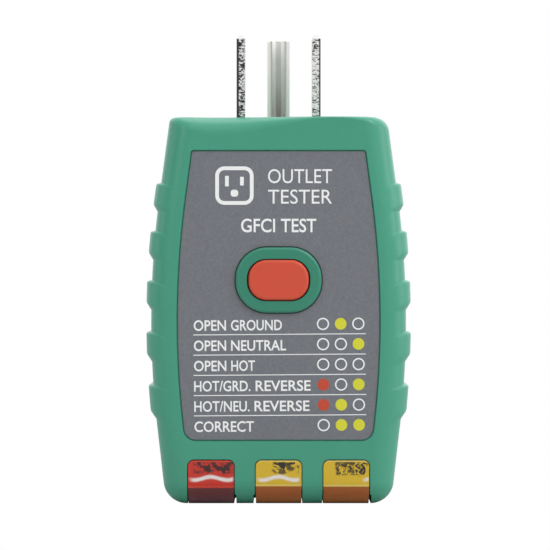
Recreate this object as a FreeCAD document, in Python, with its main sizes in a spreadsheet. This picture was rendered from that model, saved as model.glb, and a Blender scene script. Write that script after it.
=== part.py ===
import FreeCAD, Part
import math
import os
import Sketcher

# Outlet tester plug: a hand-sized two-shell housing with three prongs at the top,
# a test button on the front and three lamp windows at the foot.
# Frame: +Z towards the prong tips, -Y out of the labelled front, origin on the
# surface the plug stands on, under the middle of its bounding box. Millimetres.

Vec = FreeCAD.Vector
SIDES = (-1, 1)

DIMENSIONS = {
    # housing outline, seen from the front
    "half_width": 21.3,
    "side_radius": 157.0,
    "belly_height": 30.6,
    "top_lean": 7.6,
    "foot_lean": 6.55,
    "body_height": 64.4,
    "corner_top": 2.5,
    "corner_foot": 3.9,
    # housing depth
    "front_depth": 13.0,
    "back_depth": 14.0,
    "seam_gap": 0.1,
    "wall": 2.0,
    "fit_gap": 0.02,
    "ease": 0.05,
    "tongue_thick": 0.8,
    "tongue_high": 1.2,
    "tongue_foot": 10.0,
    "front_shoulder": 4.0,
    "back_shoulder": 3.0,
    "top_edge": 0.9,
    # grip ribs on both sides
    "rib_count": 5,
    "rib_top": 53.5,
    "rib_pitch": 8.04,
    "rib_spread": 0.29,
    "rib_flat": 3.5,
    "rib_flat_last": 4.1,
    "rib_rise": 0.87,
    "rib_lead": 0.5,
    "rib_ramp": 1.05,
    "rib_root": 0.25,
    "rib_tilt": 0.3,
    "rib_sunk": 0.04,
    # label plate and its recess
    "label_inset": 4.64,
    "label_top": 58.6,
    "label_foot": 10.88,
    "label_sunk": 0.22,
    "label_thick": 0.3,
    "label_gap": 0.25,
    "label_corner": 1.9,
    "label_corner_top": 0.25,
    "label_hole_gap": 0.16,
    # bezel ring and test button
    "button_level": 37.3,
    "ring_wide": 14.28,
    "ring_tall": 10.86,
    "ring_corner": 5.2,
    "ring_proud": 0.6,
    "ring_edge": 0.55,
    "hole_wide": 10.5,
    "hole_tall": 7.0,
    "hole_corner": 3.2,
    "cap_wide": 9.96,
    "cap_tall": 6.66,
    "cap_corner": 3.0,
    "cap_edge": 0.5,
    "cap_proud": 1.0,
    "cap_deep": 3.5,
    "flange_wide": 12.2,
    "flange_tall": 8.8,
    "flange_thick": 1.0,
    "stem_radius": 1.5,
    "stem_tip_radius": 0.8,
    "button_travel": 1.5,
    # return spring
    "spring_radius": 2.5,
    "spring_wire": 0.22,
    "spring_turns": 4.5,
    # switch under the button
    "switch_wide": 12.0,
    "switch_tall": 9.6,
    "switch_deep": 5.0,
    "switch_roof": 1.0,
    "stem_play": 0.15,
    "bridge_wide": 9.0,
    "bridge_tall": 2.0,
    "bridge_thick": 0.3,
    "bridge_level": 2.5,
    "pad_wide": 2.0,
    "contact_gap": 0.05,
    # lamp windows
    "lens_pitch": 11.2,
    "lens_wide": 7.56,
    "lens_tall": 7.43,
    "lens_slack": 0.17,
    "lens_front": 1.6,
    "lens_floor": 2.7,
    "lens_side": 0.8,
    "slit_wide": 0.4,
    "slit_tall": 1.7,
    "lens_corner": 0.95,
    "lens_lip": 0.7,
    "lip_deep": 3.0,
    "lip_lift": 0.3,
    # lamps, their leads and the baffle between them
    "lamp_radius": 2.2,
    "lamp_length": 9.0,
    "lamp_foot": 3.6,
    "lamp_plane": -6.0,
    "lamp_glass": 0.45,
    "lead_radius": 0.25,
    "lead_gap": 0.8,
    "lead_bend": 2.0,
    "lead_level": 17.5,
    "baffle_thick": 1.0,
    "baffle_foot": 3.0,
    # circuit board
    "board_wide": 25.6,
    "board_foot": 15.0,
    "board_top": 49.5,
    "board_thick": 1.6,
    "board_hole": 1.1,
    "board_post": 2.2,
    "board_pilot": 0.8,
    "board_screw_x": 10.3,
    "board_screw_low": 25.5,
    "board_screw_high": 44.5,
    # resistors
    "resistor_radius": 1.15,
    "resistor_length": 6.3,
    "resistor_first": 20.6,
    "resistor_pitch": 3.2,
    "power_radius": 2.0,
    "power_length": 11.0,
    "power_level": 31.0,
    # prongs, to the North American 15 A grounded pattern
    "blade_spacing": 12.7,
    "blade_thick": 1.4,
    "blade_wide": 6.3,
    "blade_plane": -4.2,
    "blade_tip": 78.4,
    "blade_tail": 52.4,
    "blade_bevel": 0.45,
    "pin_plane": 7.7,
    "pin_wide": 3.85,
    "pin_deep": 4.75,
    "pin_sheet": 0.85,
    "pin_tip": 79.0,
    "pin_bevel": 0.35,
    "prong_slack": 0.15,
    # insulating block that carries the prongs
    "carrier_wide": 21.0,
    "carrier_front": -9.2,
    "carrier_back": 11.4,
    "carrier_foot": 56.0,
    # hook-up wires
    "wire_radius": 0.5,
    "wire_bend": 3.6,
    "wire_level": 46.8,
    # housing screws
    "boss_radius": 2.6,
    "boss_low_x": 15.45,
    "boss_low_z": 16.4,
    "boss_high_x": 14.2,
    "boss_high_z": 54.6,
    "screw_radius": 0.98,
    "screw_head": 2.0,
    "screw_head_high": 1.4,
    "screw_free": 0.35,
    "head_free": 0.2,
    "board_screw_head": 1.8,
    "board_screw_head_high": 1.2,
    "board_screw_length": 6.5,
    "pilot_deep": 7.0,
    "screw_length": 14.0,
    "screw_sunk": 1.6,
    "drive_slot": 0.5,
}

doc = FreeCAD.newDocument("outlet_tester")
dims = doc.addObject("Spreadsheet::Sheet", "dims")
for row, (alias, value) in enumerate(DIMENSIONS.items(), 1):
    dims.set(f"A{row}", alias)
    dims.set(f"B{row}", str(value))
    dims.setAlias(f"B{row}", alias)
doc.recompute()


def size(alias):
    """The value of one driving dimension."""
    return float(dims.get(alias))


def bind(obj, **expressions):
    """Tie an object's properties to the sheet. A double underscore stands for a dot."""
    for name, expression in expressions.items():
        obj.setExpression(name.replace("__", "."), expression)


# ---------------------------------------------------------------- plain solids


def solid_box(name, wide, deep, tall, x, y, z):
    """A Part::Box whose sizes and low corner are expressions."""
    box = doc.addObject("Part::Box", name)
    bind(box, Length=wide, Width=deep, Height=tall)
    bind(box, Placement__Base__x=x, Placement__Base__y=y, Placement__Base__z=z)
    return box


def joined(name, *pieces):
    """The union of several objects."""
    fusion = doc.addObject("Part::MultiFuse", name)
    fusion.Shapes = list(pieces)
    return fusion


def cut_from(name, base, *tools):
    """The base object with the tools taken out of it."""
    result = doc.addObject("Part::Cut", name)
    result.Base = base
    result.Tool = tools[0] if len(tools) == 1 else joined(name + "_tools", *tools)
    return result


def rounded(name, base, radius, chosen):
    """A Part::Fillet on the base's edges that the chosen test accepts."""
    doc.recompute()
    fillet = doc.addObject("Part::Fillet", name)
    fillet.Base = base
    numbers = [i for i, edge in enumerate(base.Shape.Edges, 1) if chosen(edge)]
    fillet.Edges = [(i, radius, radius) for i in numbers]
    return fillet


def shape_object(name, shape):
    """A Part::Feature for a piece that the parametric features can't make."""
    feature = doc.addObject("Part::Feature", name)
    feature.Shape = shape
    return feature


def runs_along(edge, axis):
    """Whether an edge is straight and parallel to a direction."""
    if edge.Curve.TypeId != "Part::GeomLine":
        return False
    return abs(abs(edge.tangentAt(edge.FirstParameter).dot(axis)) - 1) < 1e-6


# ------------------------------------------------------------------- sketching


def new_body(name):
    """An empty PartDesign body."""
    return doc.addObject("PartDesign::Body", name)


def sketch_on(body, role, name, level="0"):
    """A sketch on one of the body's own planes, moved along the plane's normal."""
    plane = next(item for item in body.Origin.OriginFeatures if item.Role == role)
    sketch = body.newObject("Sketcher::SketchObject", name)
    sketch.AttachmentSupport = [(plane, "")]
    sketch.MapMode = "FlatFace"
    sketch.setExpression("AttachmentOffset.Base.z", level)
    return sketch


def hold(sketch, kind, *where, expression):
    """Add one dimension to a sketch and tie it to the sheet."""
    value = sketch.evalExpression(expression)
    number = sketch.addConstraint(Sketcher.Constraint(kind, *where, float(value)))
    sketch.setExpression(f"Constraints[{number}]", expression)


def draw_rectangle(sketch, left, right, low, high):
    """A rectangle held by the distances of its sides from the sketch's origin."""
    x0, x1, y0, y1 = (float(sketch.evalExpression(side)) for side in (left, right, low, high))
    corners = [Vec(x0, y0, 0), Vec(x1, y0, 0), Vec(x1, y1, 0), Vec(x0, y1, 0)]
    first = sketch.GeometryCount
    for i in range(4):
        sketch.addGeometry(Part.LineSegment(corners[i], corners[(i + 1) % 4]), False)
    for i in range(4):
        sketch.addConstraint(Sketcher.Constraint("Coincident", first + i, 2, first + (i + 1) % 4, 1))
    for i, way in enumerate(("Horizontal", "Vertical", "Horizontal", "Vertical")):
        sketch.addConstraint(Sketcher.Constraint(way, first + i))
    hold(sketch, "DistanceX", first, 1, expression=left)
    hold(sketch, "DistanceX", first, 2, expression=right)
    hold(sketch, "DistanceY", first, 1, expression=low)
    hold(sketch, "DistanceY", first + 2, 1, expression=high)


def draw_circle(sketch, x, y, radius):
    """A circle held by its centre and radius."""
    number = sketch.GeometryCount
    centre = Vec(float(sketch.evalExpression(x)), float(sketch.evalExpression(y)), 0)
    sketch.addGeometry(Part.Circle(centre, Vec(0, 0, 1), float(sketch.evalExpression(radius))), False)
    hold(sketch, "DistanceX", number, 3, expression=x)
    hold(sketch, "DistanceY", number, 3, expression=y)
    hold(sketch, "Radius", number, expression=radius)


def draw_profile(sketch, points):
    """A closed run of straight lines, each corner held by two expressions."""
    spots = [Vec(*(float(sketch.evalExpression(part)) for part in point), 0) for point in points]
    first = sketch.GeometryCount
    count = len(spots)
    for i in range(count):
        sketch.addGeometry(Part.LineSegment(spots[i], spots[(i + 1) % count]), False)
    for i in range(count):
        sketch.addConstraint(Sketcher.Constraint("Coincident", first + i, 2, first + (i + 1) % count, 1))
    for i, (across, up) in enumerate(points):
        hold(sketch, "DistanceX", first + i, 1, expression=across)
        hold(sketch, "DistanceY", first + i, 1, expression=up)


def pad(body, sketch, length, backwards=False):
    """Raise a sketch into a solid."""
    feature = body.newObject("PartDesign::Pad", sketch.Name + "_pad")
    feature.Profile = sketch
    feature.Reversed = backwards
    feature.setExpression("Length", length)
    return feature


def pocket(body, sketch, length, backwards=False):
    """Sink a sketch into the solid."""
    feature = body.newObject("PartDesign::Pocket", sketch.Name + "_pocket")
    feature.Profile = sketch
    feature.Reversed = backwards
    feature.setExpression("Length", length)
    return feature


def dress(body, kind, base, amount, chosen):
    """A PartDesign Fillet or Chamfer on the edges that the chosen test accepts."""
    doc.recompute()
    numbers = [i for i, edge in enumerate(base.Shape.Edges, 1) if chosen(edge)]
    feature = body.newObject(f"PartDesign::{kind}", f"{base.Name}_{kind.lower()}")
    feature.Base = (base, [f"Edge{i}" for i in numbers])
    feature.setExpression("Radius" if kind == "Fillet" else "Size", amount)
    return feature


# -------------------------------------------------------------- housing shells


def outline_points(grow, low, high):
    """Right-hand points of the bowed outline, offset outwards by grow."""
    radius = size("side_radius") + grow
    centre_x = size("half_width") - size("side_radius")
    centre_z = size("belly_height")
    lean, tuck = math.radians(size("top_lean")), math.radians(size("foot_lean"))
    upper = (centre_x + radius * math.cos(lean), centre_z + radius * math.sin(lean))
    lower = (centre_x + radius * math.cos(tuck), centre_z - radius * math.sin(tuck))
    top = (upper[0] - (high - upper[1]) * math.tan(lean), high)
    foot = (lower[0] - (lower[1] - low) * math.tan(tuck), low)
    return foot, lower, (centre_x + radius, centre_z), upper, top


def outline_slab(grow, low, high, front, back):
    """The bowed outline as a slab between two depths."""
    points = [Vec(x, front, z) for x, z in outline_points(grow, low, high)]
    foot, lower, middle, upper, top = points
    left = [Vec(-point.x, point.y, point.z) for point in points]
    edges = [
        Part.LineSegment(left[0], foot),
        Part.LineSegment(foot, lower),
        Part.Arc(lower, middle, upper),
        Part.LineSegment(upper, top),
        Part.LineSegment(top, left[4]),
        Part.LineSegment(left[4], left[3]),
        Part.Arc(left[3], left[2], left[1]),
        Part.LineSegment(left[1], left[0]),
    ]
    face = Part.Face(Part.Wire([edge.toShape() for edge in edges]))
    return face.extrude(Vec(0, back - front, 0))


def with_round_feet(slab, radius):
    """Round the two lower corners of a slab as seen from the front."""
    feet = [
        edge for edge in slab.Edges if runs_along(edge, Vec(0, 1, 0)) and abs(edge.CenterOfMass.z) < 1e-6
    ]
    return slab.makeFillet(radius, feet)


def with_round_corners(slab, low, high, foot_radius, top_radius):
    """Round the four corners of a slab as seen from the front."""
    for level, radius in ((high, top_radius), (low, foot_radius)):
        corners = [
            edge
            for edge in slab.Edges
            if runs_along(edge, Vec(0, 1, 0)) and abs(edge.CenterOfMass.z - level) < 1e-6
        ]
        slab = slab.makeFillet(radius, corners)
    return slab


def with_shoulder(name, slab, face_level, shoulder, edge_radius, corner_radius):
    """Round one face's rim broadly, then the top's rim: narrow in front, wider at the sides."""
    block = shape_object(name + "_block", slab)
    top = size("body_height")
    rims = []
    for number, edge in enumerate(slab.Edges, 1):
        box = edge.BoundBox
        if abs(box.YMin - face_level) > 1e-6 or abs(box.YMax - face_level) > 1e-6:
            continue
        if abs(box.ZMin - top) > 1e-6:
            rims.append((number, shoulder, shoulder))
    sides = doc.addObject("Part::Fillet", name + "_rim")
    sides.Base = block
    sides.Edges = rims
    doc.recompute()
    tops = []
    for number, edge in enumerate(sides.Shape.Edges, 1):
        box = edge.BoundBox
        if abs(box.ZMin - top) > 1e-6 or abs(box.YMin + box.YMax) < 2 * size("seam_gap"):
            continue
        ends = [edge.valueAt(edge.FirstParameter), edge.valueAt(edge.LastParameter)]
        radii = [edge_radius if abs(end.y - face_level) < 1e-6 else corner_radius for end in ends]
        tops.append((number, radii[0], radii[1]))
    crown = doc.addObject("Part::Fillet", name + "_crown")
    crown.Base = sides
    crown.Edges = tops
    doc.recompute()
    return crown.Shape


def half_width_at(level):
    """Half the width of the plain outline at a height."""
    foot, lower, middle, upper, top = outline_points(0, 0, size("body_height"))
    if level > upper[1]:
        return upper[0] - (level - upper[1]) * math.tan(math.radians(size("top_lean")))
    if level < lower[1]:
        return lower[0] - (lower[1] - level) * math.tan(math.radians(size("foot_lean")))
    radius = size("side_radius")
    return size("half_width") - radius + math.sqrt(radius**2 - (level - size("belly_height")) ** 2)


def rib_section(level, rise, depth, shoulder, facing):
    """One level cut through a grip rib, from the seam round the shoulder to the face."""
    sunk = size("rib_sunk")
    side = half_width_at(level) + rise
    inner = half_width_at(level) - shoulder
    radius = shoulder + rise
    centre = Vec(inner, facing * (depth - sunk - radius), level)
    half = math.sqrt(0.5)
    seam = Vec(side, facing * size("seam_gap") / 2, level)
    bend_start = Vec(side, centre.y, level)
    bend_middle = Vec(centre.x + radius * half, centre.y + facing * radius * half, level)
    bend_end = Vec(inner, facing * (depth - sunk), level)
    back = Vec(inner, seam.y, level)
    edges = [
        Part.LineSegment(seam, bend_start),
        Part.Arc(bend_start, bend_middle, bend_end),
        Part.LineSegment(bend_end, back),
        Part.LineSegment(back, seam),
    ]
    return Part.Wire([edge.toShape() for edge in edges])


def grip_ribs(depth, shoulder, facing):
    """All the ribs of one shell: steep above, ramped below, drooping towards the face."""
    rise, lead, ramp = size("rib_rise"), size("rib_lead"), size("rib_ramp")
    root = -size("rib_root")
    count = int(size("rib_count"))
    crown = size("rib_top")
    ribs = []
    for number in range(count):
        flat = size("rib_flat_last") if number == count - 1 else size("rib_flat")
        heel = crown - flat
        profile = [
            (crown + lead - root * lead / rise, root),
            (crown + lead * 0.18, rise * 0.80),
            (crown - 0.06, rise * 0.95),
            (crown - 0.28, rise),
            (heel + 0.32, rise),
            (heel + 0.02, rise * 0.95),
            (heel - 0.22, rise * 0.83),
            (heel - ramp + root * ramp / rise, root),
        ]
        wires = [rib_section(level, high, depth, shoulder, facing) for level, high in profile]
        rib = Part.makeLoft(wires, True, True)
        droop = FreeCAD.Matrix()
        droop.A31 = size("rib_tilt")
        droop.A34 = -size("rib_tilt") * (half_width_at(heel) + rise)
        rib = rib.transformGeometry(droop)
        ribs += [rib, rib.mirror(Vec(), Vec(1, 0, 0))]
        crown -= size("rib_pitch") + number * size("rib_spread")
    return ribs


def upright_stadium(wide, tall, corner, front, back, level):
    """A rounded rectangle in the front view, as a slab between two depths."""
    slab = Part.makeBox(wide, back - front, tall, Vec(-wide / 2, front, level - tall / 2))
    corners = [edge for edge in slab.Edges if runs_along(edge, Vec(0, 1, 0))]
    return slab.makeFillet(corner, corners)


def label_slab(grow, front, back):
    """The label plate's outline, offset by grow, as a slab between two depths."""
    low, high = size("label_foot") - grow, size("label_top") + grow
    slab = outline_slab(grow - size("label_inset"), low, high, front, back)
    return with_round_corners(slab, low, high, size("label_corner") + grow, size("label_corner_top") + grow)


def boss_places():
    """Centres of the four housing screws, as x and z."""
    for side in SIDES:
        yield side * size("boss_low_x"), size("boss_low_z")
        yield side * size("boss_high_x"), size("boss_high_z")


def post_places():
    """Centres of the four circuit board screws, as x and z."""
    for side in SIDES:
        for level in (size("board_screw_low"), size("board_screw_high")):
            yield side * size("board_screw_x"), level


def rod_along_y(radius, front, back, x, z):
    """A round bar between two depths."""
    return Part.makeCylinder(radius, back - front, Vec(x, front, z), Vec(0, 1, 0))


def shell_block(name, depth, shoulder, edge_radius, facing):
    """The solid half of the housing on one side of the seam, with its ribs."""
    seam = size("seam_gap") / 2
    tall = size("body_height")
    front, back = sorted((facing * depth, facing * seam))
    slab = outline_slab(0, 0, tall, front, back)
    slab = with_round_feet(slab, size("corner_foot"))
    slab = with_shoulder(name, slab, facing * depth, shoulder, edge_radius, size("corner_top"))
    return slab.fuse(grip_ribs(depth, shoulder, facing))


def hollow(depth, facing):
    """The space inside one half of the housing."""
    wall = size("wall")
    low, high = wall, size("body_height") - wall
    front, back = sorted((facing * (depth - wall), 0))
    slab = outline_slab(-wall, low, high, front, back)
    return with_round_corners(slab, low, high, size("corner_foot") - 1, size("corner_top") - 1)


def make_front_shell():
    """Front half: label recess, bezel ring, button hole, lens notches, screw bosses."""
    depth, wall, seam = size("front_depth"), size("wall"), size("seam_gap") / 2
    floor = size("label_sunk") + size("label_thick") - depth
    level = size("button_level")
    shell = shell_block("front_shell", depth, size("front_shoulder"), size("top_edge"), -1)
    shell = shell.cut(hollow(depth, -1))
    shell = shell.cut(label_slab(size("label_gap"), -depth - 1, floor))
    ring_front = -depth - size("ring_proud")
    ring = upright_stadium(
        size("ring_wide"), size("ring_tall"), size("ring_corner"), ring_front, wall - depth, level
    )
    rim = [edge for edge in ring.Edges if abs(edge.BoundBox.YMax - ring_front) < 1e-6]
    ring = ring.makeFillet(size("ring_edge"), rim)
    bosses = [
        rod_along_y(size("boss_radius"), 0.5 - depth + wall / 2, -seam, x, z) for x, z in boss_places()
    ]
    reach = outline_slab(0, 0, size("body_height"), wall / 2 - depth, 0)
    bosses = [boss.common(reach) for boss in bosses]
    shell = shell.fuse([ring] + bosses)
    hole_back = 1 - depth + wall
    tools = [
        upright_stadium(
            size("hole_wide"), size("hole_tall"), size("hole_corner"), ring_front - 1, hole_back, level
        )
    ]
    pilot = size("screw_radius") + size("fit_gap")
    tools += [rod_along_y(pilot, -size("screw_length") + 4, 1, x, z) for x, z in boss_places()]
    slack = size("lens_slack")
    for place in (-1, 0, 1):
        wide = size("lens_wide") + 2 * slack
        notch = Part.makeBox(
            wide,
            depth + 1,
            size("lens_tall") + slack + 1,
            Vec(place * size("lens_pitch") - wide / 2, -depth - 1, -1),
        )
        roof = [
            edge
            for edge in notch.Edges
            if runs_along(edge, Vec(0, 1, 0)) and edge.CenterOfMass.z > 1
        ]
        tools.append(notch.makeFillet(size("lens_corner") + slack, roof))
    for place, side in ((-1, 1), (0, -1), (1, 1)):
        edge = place * size("lens_pitch") + side * size("lens_wide") / 2
        low = min(edge, edge + side * size("slit_wide"))
        slit = Part.makeBox(size("slit_wide"), depth + 1, size("slit_tall") + 1, Vec(low, -depth - 1, -1))
        tools.append(slit)
    slack = size("prong_slack")
    for side in SIDES:
        tools.append(
            Part.makeBox(
                size("blade_thick") + 2 * slack,
                size("blade_wide") + 2 * slack,
                3 * wall,
                Vec(
                    side * size("blade_spacing") / 2 - size("blade_thick") / 2 - slack,
                    size("blade_plane") - size("blade_wide") / 2 - slack,
                    size("body_height") - 2 * wall,
                ),
            )
        )
    return shape_object("front_shell", shell.cut(tools).removeSplitter())


def make_rear_shell():
    """Rear half: seam tongue, board posts, screw bosses with sunk heads, ground pin slot."""
    depth, wall, seam = size("back_depth"), size("wall"), size("seam_gap") / 2
    shell = shell_block("rear_shell", depth, size("back_shoulder"), size("back_shoulder"), 1)
    shell = shell.cut(hollow(depth, 1))
    reach = outline_slab(0, 0, size("body_height"), 0, depth - wall / 2)
    bosses = [rod_along_y(size("boss_radius"), seam, depth - wall / 2, x, z) for x, z in boss_places()]
    bosses = [boss.common(reach) for boss in bosses]
    posts = [
        rod_along_y(size("board_post"), size("board_thick"), depth - wall / 2, x, z)
        for x, z in post_places()
    ]
    tongue_thick, tongue_high, ease = size("tongue_thick"), size("tongue_high"), size("ease")
    low, high = size("tongue_foot"), size("body_height") - wall - ease
    outer = outline_slab(-wall - ease, low, high, -tongue_high, wall)
    outer = with_round_corners(outer, low, high, 0.5, size("corner_top") - 1 - ease)
    inner = outline_slab(-wall - ease - tongue_thick, low - 2, high - tongue_thick, -3, 2 * wall)
    tongue = outer.cut(inner)
    tools = [rod_along_y(size("boss_radius") + size("head_free"), -2, seam, x, z) for x, z in boss_places()]
    middle = size("carrier_wide") + 2
    tools.append(Part.makeBox(middle, 4 * wall, 2 * wall, Vec(-middle / 2, -2 * wall, high - wall)))
    tongue = tongue.cut(tools)
    shell = shell.fuse(bosses + posts + [tongue])
    head_floor = depth - size("screw_sunk") - size("screw_head_high")
    tools = []
    for x, z in boss_places():
        tools.append(rod_along_y(size("screw_radius") + size("screw_free"), -1, depth + 1, x, z))
        tools.append(rod_along_y(size("screw_head") + size("head_free"), head_floor, depth + 1, x, z))
    tools += [
        rod_along_y(size("board_pilot"), 0, size("board_thick") + size("pilot_deep"), x, z)
        for x, z in post_places()
    ]
    slack = size("prong_slack")
    slot = Part.makeBox(
        size("pin_wide") + 2 * slack,
        size("pin_deep") + 2 * slack,
        3 * wall,
        Vec(
            -size("pin_wide") / 2 - slack,
            size("pin_plane") - size("pin_deep") / 2 - slack,
            size("body_height") - 2 * wall,
        ),
    )
    backs = [
        edge
        for edge in slot.Edges
        if runs_along(edge, Vec(0, 0, 1)) and edge.CenterOfMass.y > size("pin_plane")
    ]
    tools.append(slot.makeFillet(size("pin_wide") / 2, backs))
    return shape_object("rear_shell", shell.cut(tools).removeSplitter())


def make_label_panel():
    """The thin printed plate that lies in the front recess, with a hole round the bezel."""
    front = size("label_sunk") - size("front_depth")
    plate = label_slab(0, front, front + size("label_thick"))
    gap = size("label_hole_gap")
    hole = upright_stadium(
        size("ring_wide") + 2 * gap,
        size("ring_tall") + 2 * gap,
        size("ring_corner") + gap,
        front - 1,
        front + 2,
        size("button_level"),
    )
    return shape_object("label_panel", plate.cut(hole))


# --------------------------------------------------------------- lamp windows


def make_lens(name, place):
    """A tinted cup: front window, thick floor and side walls, open behind and above."""
    x = f"({place} * dims.lens_pitch)"
    outer = solid_box(
        name + "_block",
        "dims.lens_wide",
        "dims.front_depth - dims.lens_slack",
        "dims.lens_tall",
        f"{x} - dims.lens_wide / 2",
        "-dims.front_depth",
        "0",
    )
    depth, tall = size("front_depth"), size("lens_tall")

    def toe(edge):
        centre = edge.CenterOfMass
        return runs_along(edge, Vec(1, 0, 0)) and abs(centre.y + depth) < 1e-6 and centre.z < 1e-6

    def crown(edge):
        return runs_along(edge, Vec(0, 1, 0)) and abs(edge.CenterOfMass.z - tall) < 1e-6

    outer = rounded(name + "_toe", outer, size("corner_foot"), toe)
    outer = rounded(name + "_crown", outer, size("lens_corner"), crown)
    lip = solid_box(
        name + "_lip",
        "dims.lens_wide + 2 * dims.lens_lip",
        "dims.lip_deep",
        "dims.lens_tall + dims.lens_lip - dims.wall - dims.lip_lift",
        f"{x} - dims.lens_wide / 2 - dims.lens_lip",
        "dims.wall + dims.fit_gap - dims.front_depth",
        "dims.wall + dims.lip_lift",
    )
    room = solid_box(
        name + "_room",
        "dims.lens_wide - 2 * dims.lens_side",
        "dims.front_depth",
        "dims.lens_tall",
        f"{x} - dims.lens_wide / 2 + dims.lens_side",
        "dims.lens_front - dims.front_depth",
        "dims.lens_floor",
    )
    return cut_from(name, joined(name + "_solid", outer, lip), room)


def make_lamp(name, place):
    """A neon lamp lying upright behind its window: glass envelope and wire electrodes."""
    x = place * size("lens_pitch")
    radius, glass, foot = size("lamp_radius"), size("lamp_glass"), size("lamp_foot")
    body = new_body("lamp_glass_" + name)
    sketch = sketch_on(body, "YZ_Plane", f"lamp_{name}_profile", f"{place} * dims.lens_pitch")
    across = "dims.lamp_plane"
    draw_profile(
        sketch,
        [
            (across, "dims.lamp_foot"),
            (f"{across} - dims.lamp_radius", "dims.lamp_foot"),
            (f"{across} - dims.lamp_radius", "dims.lamp_foot + dims.lamp_length"),
            (across, "dims.lamp_foot + dims.lamp_length"),
        ],
    )
    feature = body.newObject("PartDesign::Revolution", f"lamp_{name}_spin")
    feature.Profile = sketch
    feature.ReferenceAxis = (sketch, ["Edge4"])
    feature.Angle = 360

    def tip(edge):
        return edge.Curve.TypeId == "Part::GeomCircle" and abs(edge.CenterOfMass.z - foot) < 1e-6

    domed = dress(body, "Fillet", feature, "dims.lamp_radius * 0.8", tip)
    room = sketch_on(body, "YZ_Plane", f"lamp_{name}_room", f"{place} * dims.lens_pitch")
    draw_profile(
        room,
        [
            (across, "dims.lamp_foot + 2 * dims.lamp_glass"),
            (f"{across} - dims.lamp_radius + dims.lamp_glass", "dims.lamp_foot + 4 * dims.lamp_glass"),
            (
                f"{across} - dims.lamp_radius + dims.lamp_glass",
                "dims.lamp_foot + dims.lamp_length - 4 * dims.lamp_glass",
            ),
            (across, "dims.lamp_foot + dims.lamp_length - 4 * dims.lamp_glass"),
        ],
    )
    groove = body.newObject("PartDesign::Groove", f"lamp_{name}_groove")
    groove.Profile = room
    groove.ReferenceAxis = (room, ["Edge4"])
    groove.Angle = 360
    seal = sketch_on(body, "XY_Plane", f"lamp_{name}_seal", "dims.lamp_foot + dims.lamp_length")
    for side in SIDES:
        draw_circle(
            seal,
            f"{place} * dims.lens_pitch + {side} * dims.lead_gap",
            "dims.lamp_plane",
            "dims.lead_radius + 0.01",
        )
    pocket(body, seal, "6 * dims.lamp_glass")
    leads = []
    for side in SIDES:
        lead_x = x + side * size("lead_gap")
        start = Vec(lead_x, size("lamp_plane"), foot + 4 * glass + 0.6)
        corner = Vec(lead_x, size("lamp_plane"), size("lead_level"))
        end = Vec(lead_x, 0, size("lead_level"))
        lead = bent_wire([start, corner, end], size("lead_radius"), size("lead_bend"))
        plate = Part.makeCylinder(
            0.5, size("lamp_length") * 0.42, Vec(lead_x, size("lamp_plane"), foot + 4 * glass + 0.5)
        )
        leads.append(lead.fuse(plate))
    return body, shape_object("lamp_electrodes_" + name, Part.makeCompound(leads))


def bent_wire(points, radius, bend):
    """A round wire through the points, straight runs joined by tangent arcs."""
    edges = []
    start = points[0]
    for before, corner, after in zip(points, points[1:], points[2:]):
        inwards = (before - corner).normalize()
        outwards = (after - corner).normalize()
        half = inwards.getAngle(outwards) / 2
        reach = bend / math.tan(half)
        bend_start = corner + inwards * reach
        bend_end = corner + outwards * reach
        centre = corner + (inwards + outwards).normalize() * (bend / math.sin(half))
        middle = centre + (corner - centre).normalize() * bend
        edges.append(Part.LineSegment(start, bend_start).toShape())
        edges.append(Part.Arc(bend_start, middle, bend_end).toShape())
        start = bend_end
    edges.append(Part.LineSegment(start, points[-1]).toShape())
    path = Part.Wire(edges)
    first = (points[1] - points[0]).normalize()
    ring = Part.Wire(Part.Circle(points[0], first, radius).toShape())
    return path.makePipeShell([ring], True, True)


def make_lamp_baffle():
    """White screen behind the lamps, with walls that keep each lamp's light to its window."""
    back = solid_box(
        "baffle_back",
        "dims.board_wide",
        "dims.baffle_thick",
        "dims.board_foot - dims.baffle_foot - dims.ease",
        "-dims.board_wide / 2",
        "0",
        "dims.baffle_foot",
    )
    pieces = [back]
    for number, side in enumerate(SIDES):
        pieces.append(
            solid_box(
                f"baffle_wall_{number}",
                "dims.baffle_thick * 0.8",
                "dims.front_depth - dims.wall",
                "dims.board_foot - dims.baffle_foot - 4",
                f"{side} * dims.lens_pitch / 2 - dims.baffle_thick * 0.4",
                "dims.wall - dims.front_depth + 0.2",
                "dims.baffle_foot",
            )
        )
    return joined("lamp_baffle", *pieces)


# --------------------------------------------------------------- circuit board


def make_circuit_board():
    """The board on the rear posts, with its four screw holes."""
    body = new_body("circuit_board")
    sheet = sketch_on(body, "XZ_Plane", "board_outline")
    draw_rectangle(sheet, "-dims.board_wide / 2", "dims.board_wide / 2", "dims.board_foot", "dims.board_top")
    for side in SIDES:
        for level in ("dims.board_screw_low", "dims.board_screw_high"):
            draw_circle(sheet, f"{side} * dims.board_screw_x", level, "dims.board_hole")
    pad(body, sheet, "dims.board_thick", backwards=True)
    return body


def make_resistor(radius, length, level, face, facing):
    """An axial resistor lying across the board, its leads bent down to the board."""
    reach = length / 2 + 2.0
    axis_y = face + facing * (radius + 0.25)
    barrel = Part.makeCylinder(radius, length, Vec(-length / 2, axis_y, level), Vec(1, 0, 0))
    rims = [edge for edge in barrel.Edges if edge.Curve.TypeId == "Part::GeomCircle"]
    barrel = barrel.makeFillet(radius * 0.35, rims)
    points = [Vec(-reach, face, level), Vec(-reach, axis_y, level), Vec(reach, axis_y, level)]
    points.append(Vec(reach, face, level))
    lead = bent_wire(points, size("lead_radius"), min(0.9, radius * 0.7))
    return barrel.fuse(lead)


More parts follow.
